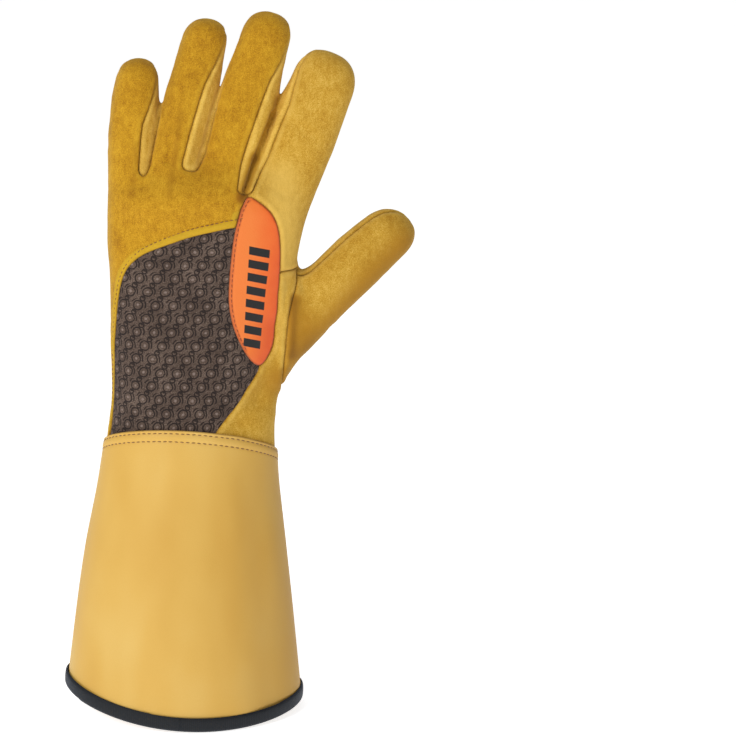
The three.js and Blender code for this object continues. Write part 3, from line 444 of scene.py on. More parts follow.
def besideFinger(digit, p, sign):
    along, share = inDigit(digit, p)[:2]
    angle = sign * digitAngle(digit, p)
    right = digit["rightRoot"] + (digit["rightTip"] - digit["rightRoot"]) * share ** 3
    back = digit["left"] if sign < 0 else right
    middle, half = (digit["front"] + back) / 2, (digit["front"] - back) / 2
    end = digit["length"] - seams["tipSpan"]
    half = half * np.sqrt(np.clip((end - along) / seams["taper"], 0, 1))
    return np.minimum((half - np.abs(angle - middle)) * degree * digit["width"] / 2, end - along)


def roundedCorner(a, b, radius):  # the smaller of two fields, with a round corner where they meet
    corner = np.hypot(np.maximum(radius - a, 0), np.maximum(radius - b, 0))
    return np.maximum(np.minimum(a, b), radius) - corner


def gussetField(left, right, backFoot, palmFoot):
    def field(p):
        nearness = digitDistance(right, p) - digitDistance(left, p)
        share = smoothStep(-seams["midway"], seams["midway"], nearness)
        arc = besideFinger(left, p, 1) * share + besideFinger(right, p, -1) * (1 - share)
        onPalm = smoothStep(-seams["palmTurn"], seams["palmTurn"], p[:, 1] / hand["palmDepth"])
        foot = (backFoot + (palmFoot - backFoot) * onPalm) * hand["palmLength"]
        return roundedCorner(arc, p[:, 2] - foot, seams["footRound"])
    return field


def pastThumbSeam(p):
    return p[:, 0] - curveThrough(*thumbSeam, p[:, 2] / hand["palmLength"]) * hand["palmWidth"] / 2


def thumbBackField(p):
    angle = digitAngle(thumb, p)
    arc = np.minimum(angle + seams["thumbRidge"], seams["thumbUnder"] - angle) * degree * thumb["width"] / 2
    return np.minimum(arc, pastThumbSeam(p))


def wrapField(p):
    foot = seams["wrapFoot"] * hand["palmLength"] + seams["wrapRise"] * (p[:, 0] - hand["palmWidth"] / 2)
    return np.minimum(p[:, 0] - gapLine(middle, index, p[:, 2]), p[:, 2] - foot)


def palmField(p):
    angle = bodyAngle(p)
    up = p[:, 2] / hand["palmLength"]
    outer = curveThrough(*outerSeam, up) - angle
    inner = angle - curveThrough(*innerSeam, up)
    bodyArc = np.maximum(outer, inner) * degree * (hand["palmWidth"] + hand["palmDepth"]) / 4
    reach = np.stack([digitDistance(digit, p) for digit in fingers])
    arcs = np.stack([(np.abs(digitAngle(digit, p)) - seams["tipAngle"]) * degree * digit["width"] / 2
                     for digit in fingers])
    tipArc = np.take_along_axis(arcs, reach.argmin(0)[None], 0)[0]
    onFinger = smoothStep(seams["fingerFoot"], seams["fingerHeel"], up)
    front = bodyArc * (1 - onFinger) + tipArc * onFinger
    byThumb = (up > seams["thumbFoot"]) & (up < seams["thumbTop"])
    thumbSide = np.where(byThumb, pastThumbSeam(p), -hand["palmWidth"])
    return np.maximum(np.maximum(front, wrapField(p)), thumbSide)


def frontField(digit, left, right, foot, slope):
    def field(p):
        beside = np.minimum(digitDistance(left, p), digitDistance(right, p)) - digitDistance(digit, p)
        return np.minimum(beside, p[:, 2] - foot * hand["palmLength"] - slope * (p[:, 0] - digit["root"][0]))
    return field


def smoothOutline(outline, steps):  # closed Catmull-Rom curve through an outline, in millimetres
    corners = np.array([(around * arcScale, up * hand["palmLength"]) for around, up in outline])
    before, after, beyond = (np.roll(corners, shift, axis=0) for shift in (1, -1, -2))
    t = np.linspace(0, 1, steps, endpoint=False)[None, :, None]
    a, b, c, d = (part[:, None, :] for part in (before, corners, after, beyond))
    curve = (b + (c - a) * t / 2 + (a - 2.5 * b + 2 * c - d / 2) * t ** 2
             + (1.5 * (b - c) + (d - a) / 2) * t ** 3)
    return curve.reshape(-1, 2)


def outlineField(outline):  # signed distance to the outline on the hand's unrolled back
    curve = smoothOutline(outline, 6)
    nextCurve = np.roll(curve, -1, axis=0)

    def field(p):
        result = np.full(len(p), -999.0)
        back = np.nonzero(p[:, 1] < 4)[0]
        x, z = bodyAngle(p[back]) * arcScale, p[back, 2]
        inside = np.zeros(len(back), bool)
        nearest = np.full(len(back), 1e9)
        for (ax, az), (bx, bz) in zip(curve, nextCurve):
            nearest = np.minimum(nearest, segmentDistance(x, z, ax, az, bx, bz))
            if az != bz:
                inside ^= ((az > z) != (bz > z)) & (x < (bx - ax) * (z - az) / (bz - az) + ax)
        signed = nearest * np.where(inside, 1, -1)
        result[back] = np.where(p[back, 1] > 0, -nearest - p[back, 1], signed)
        return result
    return field


def sideField(p):
    angle = bodyAngle(p)
    up = p[:, 2] / hand["palmLength"]
    bend = smoothStep(0, seams["sideBend"], up)
    line = seams["sideInner"] + (seams["sideOuter"] - seams["sideInner"]) * bend
    arc = np.minimum(angle - line, seams["sideFar"] - angle) * degree * hand["palmWidth"] / 2
    return np.minimum(arc, (seams["sideTop"] - up) * hand["palmLength"])


def cuffTop(around):
    turn = np.cos(around * degree)
    lift = np.where(turn > 0, cuff["backLift"], cuff["palmDrop"]) * turn
    return cuff["hemLevel"] + lift - cuff["hemTilt"] * np.sin(around * degree)


def cuffRim(around):
    turn = np.cos(around * degree)
    return -cuff["length"] - cuff["rimDip"] * turn ** 2 - cuff["rimTilt"] * np.sin(around * degree)


def handFoot(p):
    return p[:, 2] - (cuffTop(bodyAngle(p)) - cuff["hemOverlap"])


# cutting: points close to a seam are drawn onto it, and triangles across it are split there

def cutPiece(skin, source, target, field):
    own = np.nonzero(skin["piece"] == source)[0]
    triangles = skin["triangles"][own]
    used = np.unique(triangles)
    value = np.zeros(len(skin["points"]))
    value[used] = field(skin["points"][used])
    edges, place, uses = np.unique(sortedSides(triangles), axis=0, return_inverse=True, return_counts=True)
    place = place.reshape(3, -1).T
    rim = np.zeros(len(value), bool)
    rim[edges[uses == 1]] = True
    a, b = edges.T
    crossing = value[a] * value[b] < 0
    ends = np.concatenate([edges[crossing], edges[crossing][:, ::-1]])
    onRim = np.tile(uses[crossing] == 1, 2)
    share = value[ends[:, 0]] / (value[ends[:, 0]] - value[ends[:, 1]])
    near = (share < grid["drawnShare"]) & (~rim[ends[:, 0]] | onRim)
    ends, share = ends[near], share[near]
    move = skin["points"][ends[:, 1]] - skin["points"][ends[:, 0]]
    order = np.argsort(-share * np.linalg.norm(move, axis=1))
    drawn = np.full(len(value), -1)
    drawn[ends[order, 0]] = order
    ids = np.nonzero(drawn >= 0)[0]
    pick = drawn[ids]
    placed = skin["points"][ids] + move[pick] * share[pick][:, None]
    inner = ~rim[ids]
    placed[inner] = settleOn(handDistance, placed[inner], 2)
    skin["points"][ids] = placed
    value[ids] = 0
    crossing = value[a] * value[b] < 0
    t = value[a[crossing]] / (value[a[crossing]] - value[b[crossing]])
    added = skin["points"][a[crossing]] * (1 - t[:, None]) + skin["points"][b[crossing]] * t[:, None]
    added = settleOn(handDistance, added, 2)
    number = np.full(len(edges), -1)
    number[crossing] = len(skin["points"]) + np.arange(crossing.sum())
    skin["points"] = np.concatenate([skin["points"], added])
    sign = np.sign(value[triangles])
    mixed = (sign.min(1) < 0) & (sign.max(1) > 0)
    whole = triangles[~mixed]
    total = sign[~mixed].sum(1)
    flat = total == 0
    side = total > 0
    if flat.any():
        side[flat] = field(skin["points"][whole[flat]].mean(1)) > 0
    parts = [whole]
    sides = [side]
    hasZero = mixed & (sign == 0).any(1)
    turn = (sign == 0).argmax(1)[hasZero]
    a, b, c, split, _, _ = turned(triangles[hasZero], place[hasZero], number, turn)
    parts += [np.stack([a, b, split], 1), np.stack([a, split, c], 1)]
    sides += [value[b] > 0, value[c] > 0]
    clean = mixed & ~(sign == 0).any(1)
    lone = np.where(sign.sum(1) > 0, -1, 1)[:, None] == sign
    turn = lone.argmax(1)[clean]
    a, b, c, _, ab, ca = turned(triangles[clean], place[clean], number, turn)
    far = np.concatenate([value, np.zeros(len(added))])
    spots = skin["points"]
    short = np.linalg.norm(spots[ab] - spots[c], axis=1) < np.linalg.norm(spots[b] - spots[ca], axis=1)
    first = np.where(short[:, None], np.stack([ab, b, c], 1), np.stack([ab, b, ca], 1))
    second = np.where(short[:, None], np.stack([ab, c, ca], 1), np.stack([b, c, ca], 1))
    parts += [np.stack([a, ab, ca], 1), first, second]
    sides += [far[a] > 0, far[b] > 0, far[b] > 0]
    kept = skin["piece"] != source
    cut = np.concatenate(parts)
    inside = np.concatenate(sides)
    skin["triangles"] = np.concatenate([skin["triangles"][kept], cut])
    skin["piece"] = np.concatenate([skin["piece"][kept], np.where(inside, target, source)])


def turned(triangles, place, number, turn):  # corners and cut points, counted from one corner
    rows = np.arange(len(triangles))
    corner = [triangles[rows, (turn + i) % 3] for i in range(3)]
    cutAt = [number[place[rows, (turn + i) % 3]] for i in range(3)]
    return corner[0], corner[1], corner[2], cutAt[1], cutAt[0], cutAt[2]


def joinCrumbs(skin):  # a crumb cut off a piece goes to the neighbour that it touches most
    edges, place = np.unique(sortedSides(skin["triangles"]), axis=0, return_inverse=True)
    count = len(skin["triangles"])
    owner = np.tile(np.arange(count), 3)
    order = np.argsort(place.ravel(), kind="stable")
    sortedPlace, sortedOwner = place.ravel()[order], owner[order]
    same = sortedPlace[1:] == sortedPlace[:-1]
    left, right = sortedOwner[:-1][same], sortedOwner[1:][same]
    alike = skin["piece"][left] == skin["piece"][right]
    label = np.arange(count)
    while True:
        low = np.minimum(label[left[alike]], label[right[alike]])
        fresh = label.copy()
        np.minimum.at(fresh, left[alike], low)
        np.minimum.at(fresh, right[alike], low)
        fresh = fresh[fresh]
        if (fresh == label).all():
            break
        label = fresh
    names, group, size = np.unique(label, return_inverse=True, return_counts=True)
    pieceOf = skin["piece"][names]
    for piece in np.unique(pieceOf):
        groups = np.nonzero(pieceOf == piece)[0]
        main = groups[size[groups].argmax()]
        for crumb in groups[groups != main]:
            inCrumb = group == crumb
            touching = np.concatenate([right[inCrumb[left]], left[inCrumb[right]]])
            touching = touching[~inCrumb[touching]]
            if len(touching):
                found, votes = np.unique(skin["piece"][touching], return_counts=True)
                skin["piece"][inCrumb] = found[votes.argmax()]


pieceNames = ["back_leather", "gusset_pinky_ring", "gusset_ring_middle", "gusset_middle_index", "thumb_back",
              "side_patch", "palm_leather", "ring_front", "middle_front", "back_fabric", "side_panel"]


def cutHand():
    lowZ = cuff["hemLevel"] - cuff["palmDrop"] - cuff["hemOverlap"] - grid["below"]
    highZ = max(d["root"][1] + d["length"] * d["axis"][1] for d in (ring, middle)) + grid["above"]
    points, squares = formMesh(handDistance, lowZ, highZ)
    points = relax(handDistance, settleOn(handDistance, points, 3), squares, 3)
    points, squares = splitSquares(points, squares)
    points = settleOn(handDistance, points, 2)
    triangles = toTriangles(points, squares)
    skin = {"points": points, "triangles": triangles, "piece": np.full(len(triangles), -1)}
    at = {name: i for i, name in enumerate(pieceNames)}
    cutPiece(skin, -1, at["back_leather"], handFoot)
    kept = skin["piece"] >= 0
    skin["triangles"], skin["piece"] = skin["triangles"][kept], skin["piece"][kept]
    for source, target, field in (
            ("back_leather", "gusset_pinky_ring", gussetField(pinky, ring, 1.17, 1.2)),
            ("back_leather", "gusset_ring_middle", gussetField(ring, middle, 1.2, 1.2)),
            ("back_leather", "gusset_middle_index", gussetField(middle, index, 1.1, 1.14)),
            ("back_leather", "thumb_back", thumbBackField),
            ("back_leather", "side_patch", outlineField(patchOutline)),
            ("back_leather", "palm_leather", palmField),
            ("palm_leather", "ring_front", frontField(ring, pinky, middle, 1, 0.35)),
            ("palm_leather", "middle_front", frontField(middle, ring, index, 1.05, -0.05)),
            ("back_leather", "back_fabric", outlineField(fabricOutline)),
            ("back_leather", "side_panel", sideField)):
        cutPiece(skin, at[source], at[target], field)
    joinCrumbs(skin)
    return skin


# panels: each is its patch of the skin, raised and rolled down at its seams, with its inner side

panel = {  # millimetres
    "drop": 1.05, "reach": 2.1, "crest": 0.34, "crestAt": 2.7, "crestWidth": 1.4,
    "overDrop": 0.4, "overReach": 0.9, "pucker": 0.22, "puckerSize": 3.4, "puckerReach": 4,
    "wave": 0.5, "waveSize": 15, "ripple": 0.1, "rippleSize": 5, "rowDip": 0.3, "rowReach": 0.9,
    "farSeam": 12, "farRow": 6, "leastWall": 0.6,
}
pieceLift = {"back_fabric": -0.5, "side_patch": 0.12, "gusset_pinky_ring": -0.45, "gusset_ring_middle": -0.2,
             "gusset_middle_index": -0.45}
coveredBy = {("back_fabric", "back_leather"), ("back_fabric", "side_patch"), ("back_fabric", "side_panel")}
# fold lines of the leather: face, ends as shares of half the palm's width and of its length,
# then width and depth in millimetres
creaseTable = [
    (-1, 1.0, 0.7, 1.3, 0.78, 2.2, 0.5), (-1, 1.05, 0.45, 1.22, 0.5, 2.5, 0.5),
    (-1, 0.62, 0.02, 0.86, 0.14, 3, 0.6), (-1, 0.5, 0.16, 0.9, 0.28, 3.5, 0.5),
    (-1, 0.7, 1.16, 1.0, 1.1, 3, 0.45), (-1, 0.95, 1.45, 1.3, 1.35, 3, 0.35),
    (-1, -0.8, 1.12, -0.5, 1.14, 3, 0.35), (-1, 0.08, 1.28, 0.42, 1.25, 3.5, 0.3),
    (-1, 0.9, 1.44, 0.6, 1.12, 1.8, 4.2), (-1, -0.17, 1.33, -0.22, 1.24, 2, 1.6),
    (-1, 1.17, 0.75, 1.21, 0.68, 2, 0.8), (-1, 1.3, 0.86, 1.5, 0.84, 3.5, 0.6),
    (1, 0.1, 0.2, 0.3, 0.7, 4, 0.7), (1, -0.2, 0.3, 0.15, 0.55, 4, 0.4), (1, 0.5, 0.25, 0.62, 0.45, 3, 0.5),
    (1, -0.75, 0.85, 0.3, 0.9, 3.5, 0.5), (1, -0.8, 1.3, -0.45, 1.32, 2.5, 0.45),
    (1, -0.3, 1.45, 0.0, 1.42, 2.5, 0.45), (1, 0.2, 1.48, 0.55, 1.42, 2.5, 0.45),
    (1, 0.75, 1.25, 1.2, 1.15, 3, 0.5), (1, 0.9, 1.5, 1.35, 1.4, 2.5, 0.4), (1, 1.3, 0.6, 1.6, 0.45, 3, 0.5),
    (1, -0.85, 0.05, 0.1, 0.0, 3, 0.5), (1, 0.1, 0.0, 0.8, 0.06, 3, 0.4),
]


def creaseHeight(p):  # a groove with a soft swell on both sides
    swell, spread = 0.45, 2.2
    return -alongLines(creaseTable, p, 1, -2, 5, lambda away: bell(away) - swell * bell(away / spread))


# painted light and painted shade worked into the nap's colour: face (0 for both), the ends as in the creases,
# spread and strength
paintedLightTable = [
    (-1, 0.97, 1.16, 1.06, 0.8, 11, 0.95), (0, 1.04, 0.26, 2.34, 0.83, 12.5, -1.1),
    (-1, 1.16, 0.62, 1.3, 0.34, 7, -0.5), (-1, 1.115, 0.63, 1.1, 0.38, 2.8, -1.1),
    (-1, 1.02, 0.7, 1.0, 0.34, 2.4, 0.6), (-1, -1.0, 1.2, -1.0, -0.2, 5, 0.7),
    (-1, 0.56, 1.09, 0.7, 1.25, 3.2, -1.7), (-1, 0.7, 1.25, 0.93, 1.5, 2.2, -1.2),
    (-1, -0.2, 1.1, -0.08, 1.45, 2.2, -0.5), (-1, -0.6, 1.1, -0.56, 1.3, 2.5, -0.4),
]


def paintedLightAndShade(p):
    return alongLines(paintedLightTable, p, 1, -6, 3, bell)


def addToScene(name, data):
    made = bpy.data.objects.new(name, data)
    bpy.context.scene.collection.objects.link(made)
    return made


def makeMesh(name, points, groups, uv=None, fields=None):
    # groups are arrays of faces with the same number of corners; points in millimetres
    mesh = bpy.data.meshes.new(name)
    mesh.vertices.add(len(points))
    mesh.vertices.foreach_set("co", (points * milli).astype(np.float32).ravel())
    corners = np.concatenate([group.ravel() for group in groups]).astype(np.int32)
    sizes = np.concatenate([np.full(len(group), group.shape[1]) for group in groups])
    mesh.loops.add(len(corners))
    mesh.loops.foreach_set("vertex_index", corners)
    mesh.polygons.add(len(sizes))
    mesh.polygons.foreach_set("loop_start", (np.cumsum(sizes) - sizes).astype(np.int32))
    mesh.polygons.foreach_set("use_smooth", np.ones(len(sizes), bool))
    if uv is not None:
        layer = mesh.uv_layers.new(name="lay")
        layer.data.foreach_set("uv", uv[corners].astype(np.float32).ravel())
    for key, values in (fields or {}).items():
        mesh.attributes.new(key, "FLOAT", "POINT").data.foreach_set("value", values.astype(np.float32))
    mesh.update(calc_edges=True)
    mesh.validate()
    mesh.set_sharp_from_angle(angle=52 * degree)
    return addToScene(name, mesh)


def seamEdges(skin, own):
    # directed border edges of a piece, and the number of the piece on their other side
    triangles = skin["triangles"]
    count = len(skin["points"])
    start, end = sidesOf(triangles).T
    owner = np.tile(skin["piece"], 3)
    forward, backward = start * count + end, end * count + start
    order = np.argsort(forward)
    mine = owner == own
    spot = np.clip(np.searchsorted(forward[order], backward[mine]), 0, len(forward) - 1)
    found = forward[order][spot] == backward[mine]
    other = np.where(found, owner[order][spot], -1)
    border = other != own
    return start[mine][border], end[mine][border], other[border]


def buildPanel(skin, normals, name, stitchPaths):
    own = pieceNames.index(name)
    triangles = skin["triangles"][skin["piece"] == own]
    start, end, other = seamEdges(skin, own)
    used, triangles = np.unique(triangles, return_inverse=True)
    triangles = triangles.reshape(-1, 3)
    number = np.full(len(skin["points"]), -1)
    number[used] = np.arange(len(used))
    points, normal = skin["points"][used], normals[used]
    a, b = number[start], number[end]
    middles = (skin["points"][start] + skin["points"][end]) / 2
    height = np.zeros(len(points))
    seamGapTo = np.full(len(points), float(panel["farSeam"]))
    for neighbour in np.unique(other):
        rows = other == neighbour
        samples = np.concatenate([middles[rows], skin["points"][start[rows]]])
        away = nearestDistance(points, samples, panel["farSeam"])
        otherName = "foot" if neighbour < 0 else pieceNames[neighbour]
        if otherName == "foot" or (name, otherName) in coveredBy:
            continue
        seamGapTo = np.minimum(seamGapTo, away)
        over = (otherName, name) in coveredBy or name == "side_patch" or otherName.startswith("gusset")
        drop, reach = (panel["overDrop"], panel["overReach"]) if over else (panel["drop"], panel["reach"])
        roll = 1 - np.clip(away / reach, 0, 1)
        height = np.minimum(height, -drop * (1 - np.sqrt(np.maximum(1 - roll ** 2, 0))))
    if name not in ("back_fabric", "side_patch"):
        height += panel["crest"] * bell((seamGapTo - panel["crestAt"]) / panel["crestWidth"])
        height += panel["wave"] * softNoise(points, panel["waveSize"], 3)
        height += panel["ripple"] * softNoise(points, panel["rippleSize"], 5)
        height += creaseHeight(points)
    pucker = softNoise(points, panel["puckerSize"], 7)
    height += panel["pucker"] * pucker * np.exp(-seamGapTo / panel["puckerReach"])
    rowGap = np.full(len(points), float(panel["farRow"]))
    for path in stitchPaths:
        rowGap = np.minimum(rowGap, nearestDistance(points, path, panel["farRow"]))
    height -= panel["rowDip"] * bell(rowGap / panel["rowReach"])
    height += pieceLift.get(name, 0)
    along = unit(points[b] - points[a])
    inward = np.zeros_like(points)
    count = np.zeros(len(points))
    for ids in (a, b):
        np.add.at(inward, ids, unit(np.cross(normal[ids], along)))
        np.add.at(count, ids, 1)
    border = count > 0
    bend = np.maximum((inward[border] ** 2).sum(1) / (2 * count[border]), 0.35)
    points[border] += inward[border] * (hand["seamGap"] / 2 / count[border] / bend)[:, None]
    outer = points + normal * height[:, None]
    inner = points - normal * np.maximum(hand["wall"], panel["leastWall"] - height)[:, None]
    size = len(points)
    uv = np.stack([arcAround(points), points[:, 2]], axis=1) / mapUnit
    walls = np.stack([a, a + size, b + size, b], axis=1)
    # the tone field holds painted light and shade; in the suede the seam field also places painted shade in
    # the grooves and a painted highlight on the crests
    fields = {"seam": np.tile(seamGapTo, 2), "row": np.tile(rowGap, 2),
              "inside": np.repeat([0.0, 1.0], size), "tone": np.tile(paintedLightAndShade(points), 2)}
    faces = [triangles, triangles[:, ::-1] + size, walls]
    return makeMesh(name + "_sewn", np.concatenate([outer, inner]), faces, np.tile(uv, (2, 1)), fields)


def arcAround(p):  # millimetres round the section's oval from the middle of the back
    halfWidth, halfDepth, _, _ = bodySection(p[:, 2])
    angle = bodyAngle(p) * degree
    total, steps = np.zeros(len(p)), 24
    for share in (np.arange(steps) + 0.5) / steps:
        total += np.hypot(halfWidth * np.cos(angle * share), halfDepth * np.sin(angle * share))
    return total / steps * angle


# places on the form, by the angle round it and a height

def onArm(around, z, lift):
    shape = np.broadcast(around, z, lift).shape
    around, z, lift = (np.broadcast_to(part, shape).ravel().astype(float) for part in (around, z, lift))
    halfWidth, halfDepth, middleX, _ = bodySection(z)
    p = np.stack([middleX + halfWidth * np.sin(around * degree), -halfDepth * np.cos(around * degree), z], 1)
    for _ in range(3):
        slope = slopeOf(handDistance, p)
        slope[:, 2] = 0
        p = p - slope * (handDistance(p) / (slope ** 2).sum(1))[:, None]
    normal = unit(slopeOf(handDistance, p))
    return (p + normal * lift[:, None]).reshape(shape + (3,)), normal.reshape(shape + (3,))


def outlinePath(outline, inset, keep):
    # a row inside an outline (outside where negative), where the test on degrees and share holds
    curve = smoothOutline(outline, 24)
    step = unit(np.roll(curve, -1, axis=0) - np.roll(curve, 1, axis=0))
    turnsLeft = np.cross(curve, np.roll(curve, -1, axis=0)).sum() > 0
    inwards = np.stack([-step[:, 1], step[:, 0]], 1) * (1 if turnsLeft else -1)
    row = curve + inwards * inset
    kept = keep(row[:, 0] / arcScale, row[:, 1] / hand["palmLength"])
    first = np.nonzero(kept & ~np.roll(kept, 1))[0]
    if len(first):
        row, kept = np.roll(row, -first[0], axis=0), np.roll(kept, -first[0])
        last = np.nonzero(~kept)[0]
        row = row[:last[0]] if len(last) else row
    place, _ = onArm(row[:, 0] / arcScale, row[:, 1], 0)
    return place


def lengthAlong(path):
    return np.concatenate([[0], np.cumsum(np.linalg.norm(np.diff(path, axis=0), axis=1))])


def valuesAt(at, length, values):  # what a row has at these lengths along it
    return np.stack([np.interp(at, length, values[:, i]) for i in range(3)], axis=-1)


def evenly(path, step):  # the same line with points at even steps
    length = lengthAlong(path)
    return valuesAt(np.linspace(0, length[-1], max(int(length[-1] / step), 2)), length, path)


def gridFaces(rows, size, isRing):
    # squares between neighbouring rows of closed profiles, the last row joined to the first in a ring
    i, j = np.meshgrid(np.arange(rows if isRing else rows - 1), np.arange(size), indexing="ij")
    nextI, nextJ = (i + 1) % rows, (j + 1) % size
    corners = [i * size + j, i * size + nextJ, nextI * size + nextJ, nextI * size + j]
    return np.stack(corners, -1).reshape(-1, 4)


def dress(piece, finish, slot, node=None):
    piece.data.materials.append(finish)
    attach(piece, "root")
    if node:
        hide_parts(node)


def makeStitches(name, rows, style, finish, slot, seed):
    # each stitch is a short fat thread: a round profile carried along its piece of the row, high
    # in its middle and sunk into the leather at both ends
    draw = np.random.default_rng(seed)
    rings, sides = 7, 6
    u = np.linspace(-1, 1, rings)
    v = np.arange(sides) * math.pi / 3
    parts = []
    for path, normal in rows:
        length = lengthAlong(path)
        count = int(length[-1] / style["pitch"])
        centre = (np.arange(count) + 0.5) * length[-1] / count + style["drift"] * draw.uniform(-1, 1, count)
        half = style["length"] / 2 * (1 + style["uneven"] * draw.uniform(-1, 1, count))
        at = centre[:, None] + half[:, None] * u[None]
        line, up = valuesAt(at, length, path), unit(valuesAt(at, length, normal))
        across = unit(np.cross(unit(np.gradient(line, axis=1)), up))
        slant = style["slant"] * draw.uniform(-1, 1, count)[:, None] * u[None]
        radius = style["radius"] * (1 - (style["taper"] * u) ** 2) ** style["fullness"]
        rise = style["rise"] - style["sink"] * u ** 2
        core = line + up * rise[None, :, None] + across * slant[..., None]
        profile = (across[:, :, None] * np.cos(v)[:, None] + up[:, :, None] * np.sin(v)[:, None])
        profile = profile * radius[:, None, None]
        parts.append((core[:, :, None] + profile).reshape(-1, 3))
    points = np.concatenate(parts)
    quads = gridFaces(rings, sides, False)[:, ::-1]
    caps = np.stack([np.arange(sides), np.arange(rings * sides)[:-sides - 1:-1]])
    base = np.arange(0, len(points), rings * sides)[:, None, None]
    groups = [(base + part).reshape(-1, part.shape[1]) for part in (quads, caps)]
    dress(makeMesh(name, points, groups), finish, slot)


# cuff: a sleeve whose wall follows the arm's section; its lift off the form is a sum of the
# leather's thickness, the lap, the hem's puff between its two rows and slow waves

def lapLift(around):  # the outer layer ends in a step at the lap and slopes off behind it
    arc = ((around - cuff["lapAngle"] + 540) % 360 - 180) * degree * hand["wristWidth"] / 2
    ahead = 1 - smoothStep(0, cuff["lapStep"], arc)
    behind = smoothStep(*(-share * cuff["lapWidth"] for share in cuff["lapTail"]), arc)
    return cuff["lapRise"] * np.where(arc > 0, ahead, behind), arc


def cuffSurface():
    around = np.linspace(0, 360, cuff["columns"], endpoint=False)
    lapEdge = (cuff["lapAngle"] + 360) % 360
    beside = lapEdge + np.array([-0.5, -0.2, 0.1, 0.25, 0.4, 0.55, 0.8])
    around = np.sort(np.concatenate([around, beside]))[:, None]
    share = np.linspace(0, 1, cuff["rows"] + 1)[None]
    top, rim = cuffTop(around), cuffRim(around)
    below = np.clip((share - cuff["hemShare"]) / (1 - cuff["hemShare"]), 0, 1)
    down = cuff["hemDepth"] * np.clip(share / cuff["hemShare"], 0, 1) + (top - rim - cuff["hemDepth"]) * below
    z = top - down
    lap, arc = lapLift(around)
    lapRow = bell((arc + cuff["lapStitch"]) / cuff["lapRowWidth"])
    firstRow, secondRow = cuff["hemRows"]
    dips = bell((down - firstRow) / cuff["rowWidth"]) + bell((down - secondRow) / cuff["rowWidth"])
    puff = bell((down - (firstRow + secondRow) / 2) / cuff["puffWidth"])
    edge = 1 - np.sqrt(np.maximum(1 - (1 - np.clip(down / cuff["edge"], 0, 1)) ** 2, 0))
    radius, turn = cuff["mapRadius"], around * degree
    onTube = (np.sin(turn) * radius, np.cos(turn) * radius, z * cuff["waveStretch"])
    onTube = np.stack(np.broadcast_arrays(*onTube), -1).reshape(-1, 3)
    wave = softNoise(onTube, cuff["waveSize"], 21).reshape(z.shape)
    fold, hollow = (depth * bell((around - at) / width)
                    for depth, at, width in (cuff["fold"], cuff["hollow"]))
    lift = (cuff["gap"] + cuff["wall"] + lap + cuff["hemPuff"] * puff - cuff["edgeDrop"] * edge
            - cuff["rowDip"] * (dips + lapRow * smoothStep(*cuff["lapRowFrom"], down))
            + cuff["wave"] * wave * smoothStep(*cuff["waveFrom"], down)
            - (fold * smoothStep(*cuff["foldFrom"], down) - hollow) * smoothStep(*cuff["foldsFrom"], down))
    outer, _ = onArm(around, z, lift)
    shareIn = np.linspace(1, 0, cuff["innerRows"] + 1)[None]
    inner, _ = onArm(around, top - 0.1 + (rim - top) * shareIn, cuff["gap"] + 0 * shareIn)
    points = np.concatenate([outer, inner], axis=1)
    inside = np.concatenate([np.zeros(outer.shape[:2]), np.ones(inner.shape[:2])], axis=1)
    hem = np.concatenate([np.broadcast_to(down, outer.shape[:2]), np.full(inner.shape[:2], 60.0)], axis=1)
    uv = np.stack(np.broadcast_arrays(turn * radius, points[..., 2]), -1) / mapUnit
    fields = {"inside": inside.ravel(), "row": hem.ravel()}
    return points, uv.reshape(-1, 2), fields


def cuffRows():  # the two rows under the hem and the row down the lap, with their normals
    around = np.linspace(0, 360, 721)
    top, foot = cuff["lapRowEnds"]
    rows = []
    for down in cuff["hemRows"]:
        lift = cuff["gap"] + cuff["wall"] + lapLift(around)[0] - cuff["rowDip"]
        rows.append(onArm(around, cuffTop(around) - down, lift))
    z = np.linspace(cuffTop(cuff["lapAngle"]) - top, cuffRim(cuff["lapAngle"]) + foot, 200)
    back = cuff["lapAngle"] - cuff["lapStitch"] / (degree * hand["wristWidth"] / 2)
    lift = cuff["gap"] + cuff["wall"] + cuff["lapRise"] - cuff["rowDip"]
    rows.append(onArm(back, z, lift))
    return rows


binding = {"height": 6.3, "wall": 1.15, "gap": 0.4, "under": 2.2, "inner": 0.1, "columns": 320,
           "sideSteps": 9, "turnSteps": 13, "puff": 0.18, "edge": 0.22, "mapRadius": 60, "mapStep": 0.8}


def bindingSurface():
    # tape folded round the rim: a rounded loop of lift and height, carried round the arm
    around = np.linspace(0, 360, binding["columns"], endpoint=False)[:, None]
    inner = cuff["gap"] - binding["gap"]
    outer = cuff["gap"] + cuff["wall"] + binding["gap"] + lapLift(around)[0]
    wall, high, low = binding["wall"], binding["height"], -binding["under"]
    t = np.linspace(0, 1, binding["sideSteps"])[None]
    turn = np.linspace(0, math.pi, binding["turnSteps"])[None, 1:-1]
    flat = np.zeros_like(around)
    rounding = np.sqrt(1 - (1 - np.clip(t / binding["edge"], 0, 1)) ** 2 * 0.9)
    puff = wall * (1 + binding["puff"] * np.sin(t * math.pi)) * rounding
    outsideLift, insideLift = outer + puff, inner - puff[:, ::-1] + flat
    underLift = (inner + outer) / 2 + ((outer - inner) / 2 + wall) * np.cos(turn)
    loopLift = np.concatenate([outsideLift, underLift, insideLift, inner + flat, outer], axis=1)
    loopHigh = np.concatenate([high * (1 - t), low * np.sin(turn), high * t,
                               np.full((1, 2), binding["inner"])], axis=1) + flat
    points, _ = onArm(around + 0 * loopLift, cuffRim(around) + loopHigh, loopLift)
    size = loopLift.shape[1]
    around = np.broadcast_to(around, loopLift.shape)
    across = np.broadcast_to(np.arange(size) * binding["mapStep"], around.shape)
    uv = np.stack([around * degree * binding["mapRadius"], across], -1) / mapUnit
    return points, uv.reshape(-1, 2)


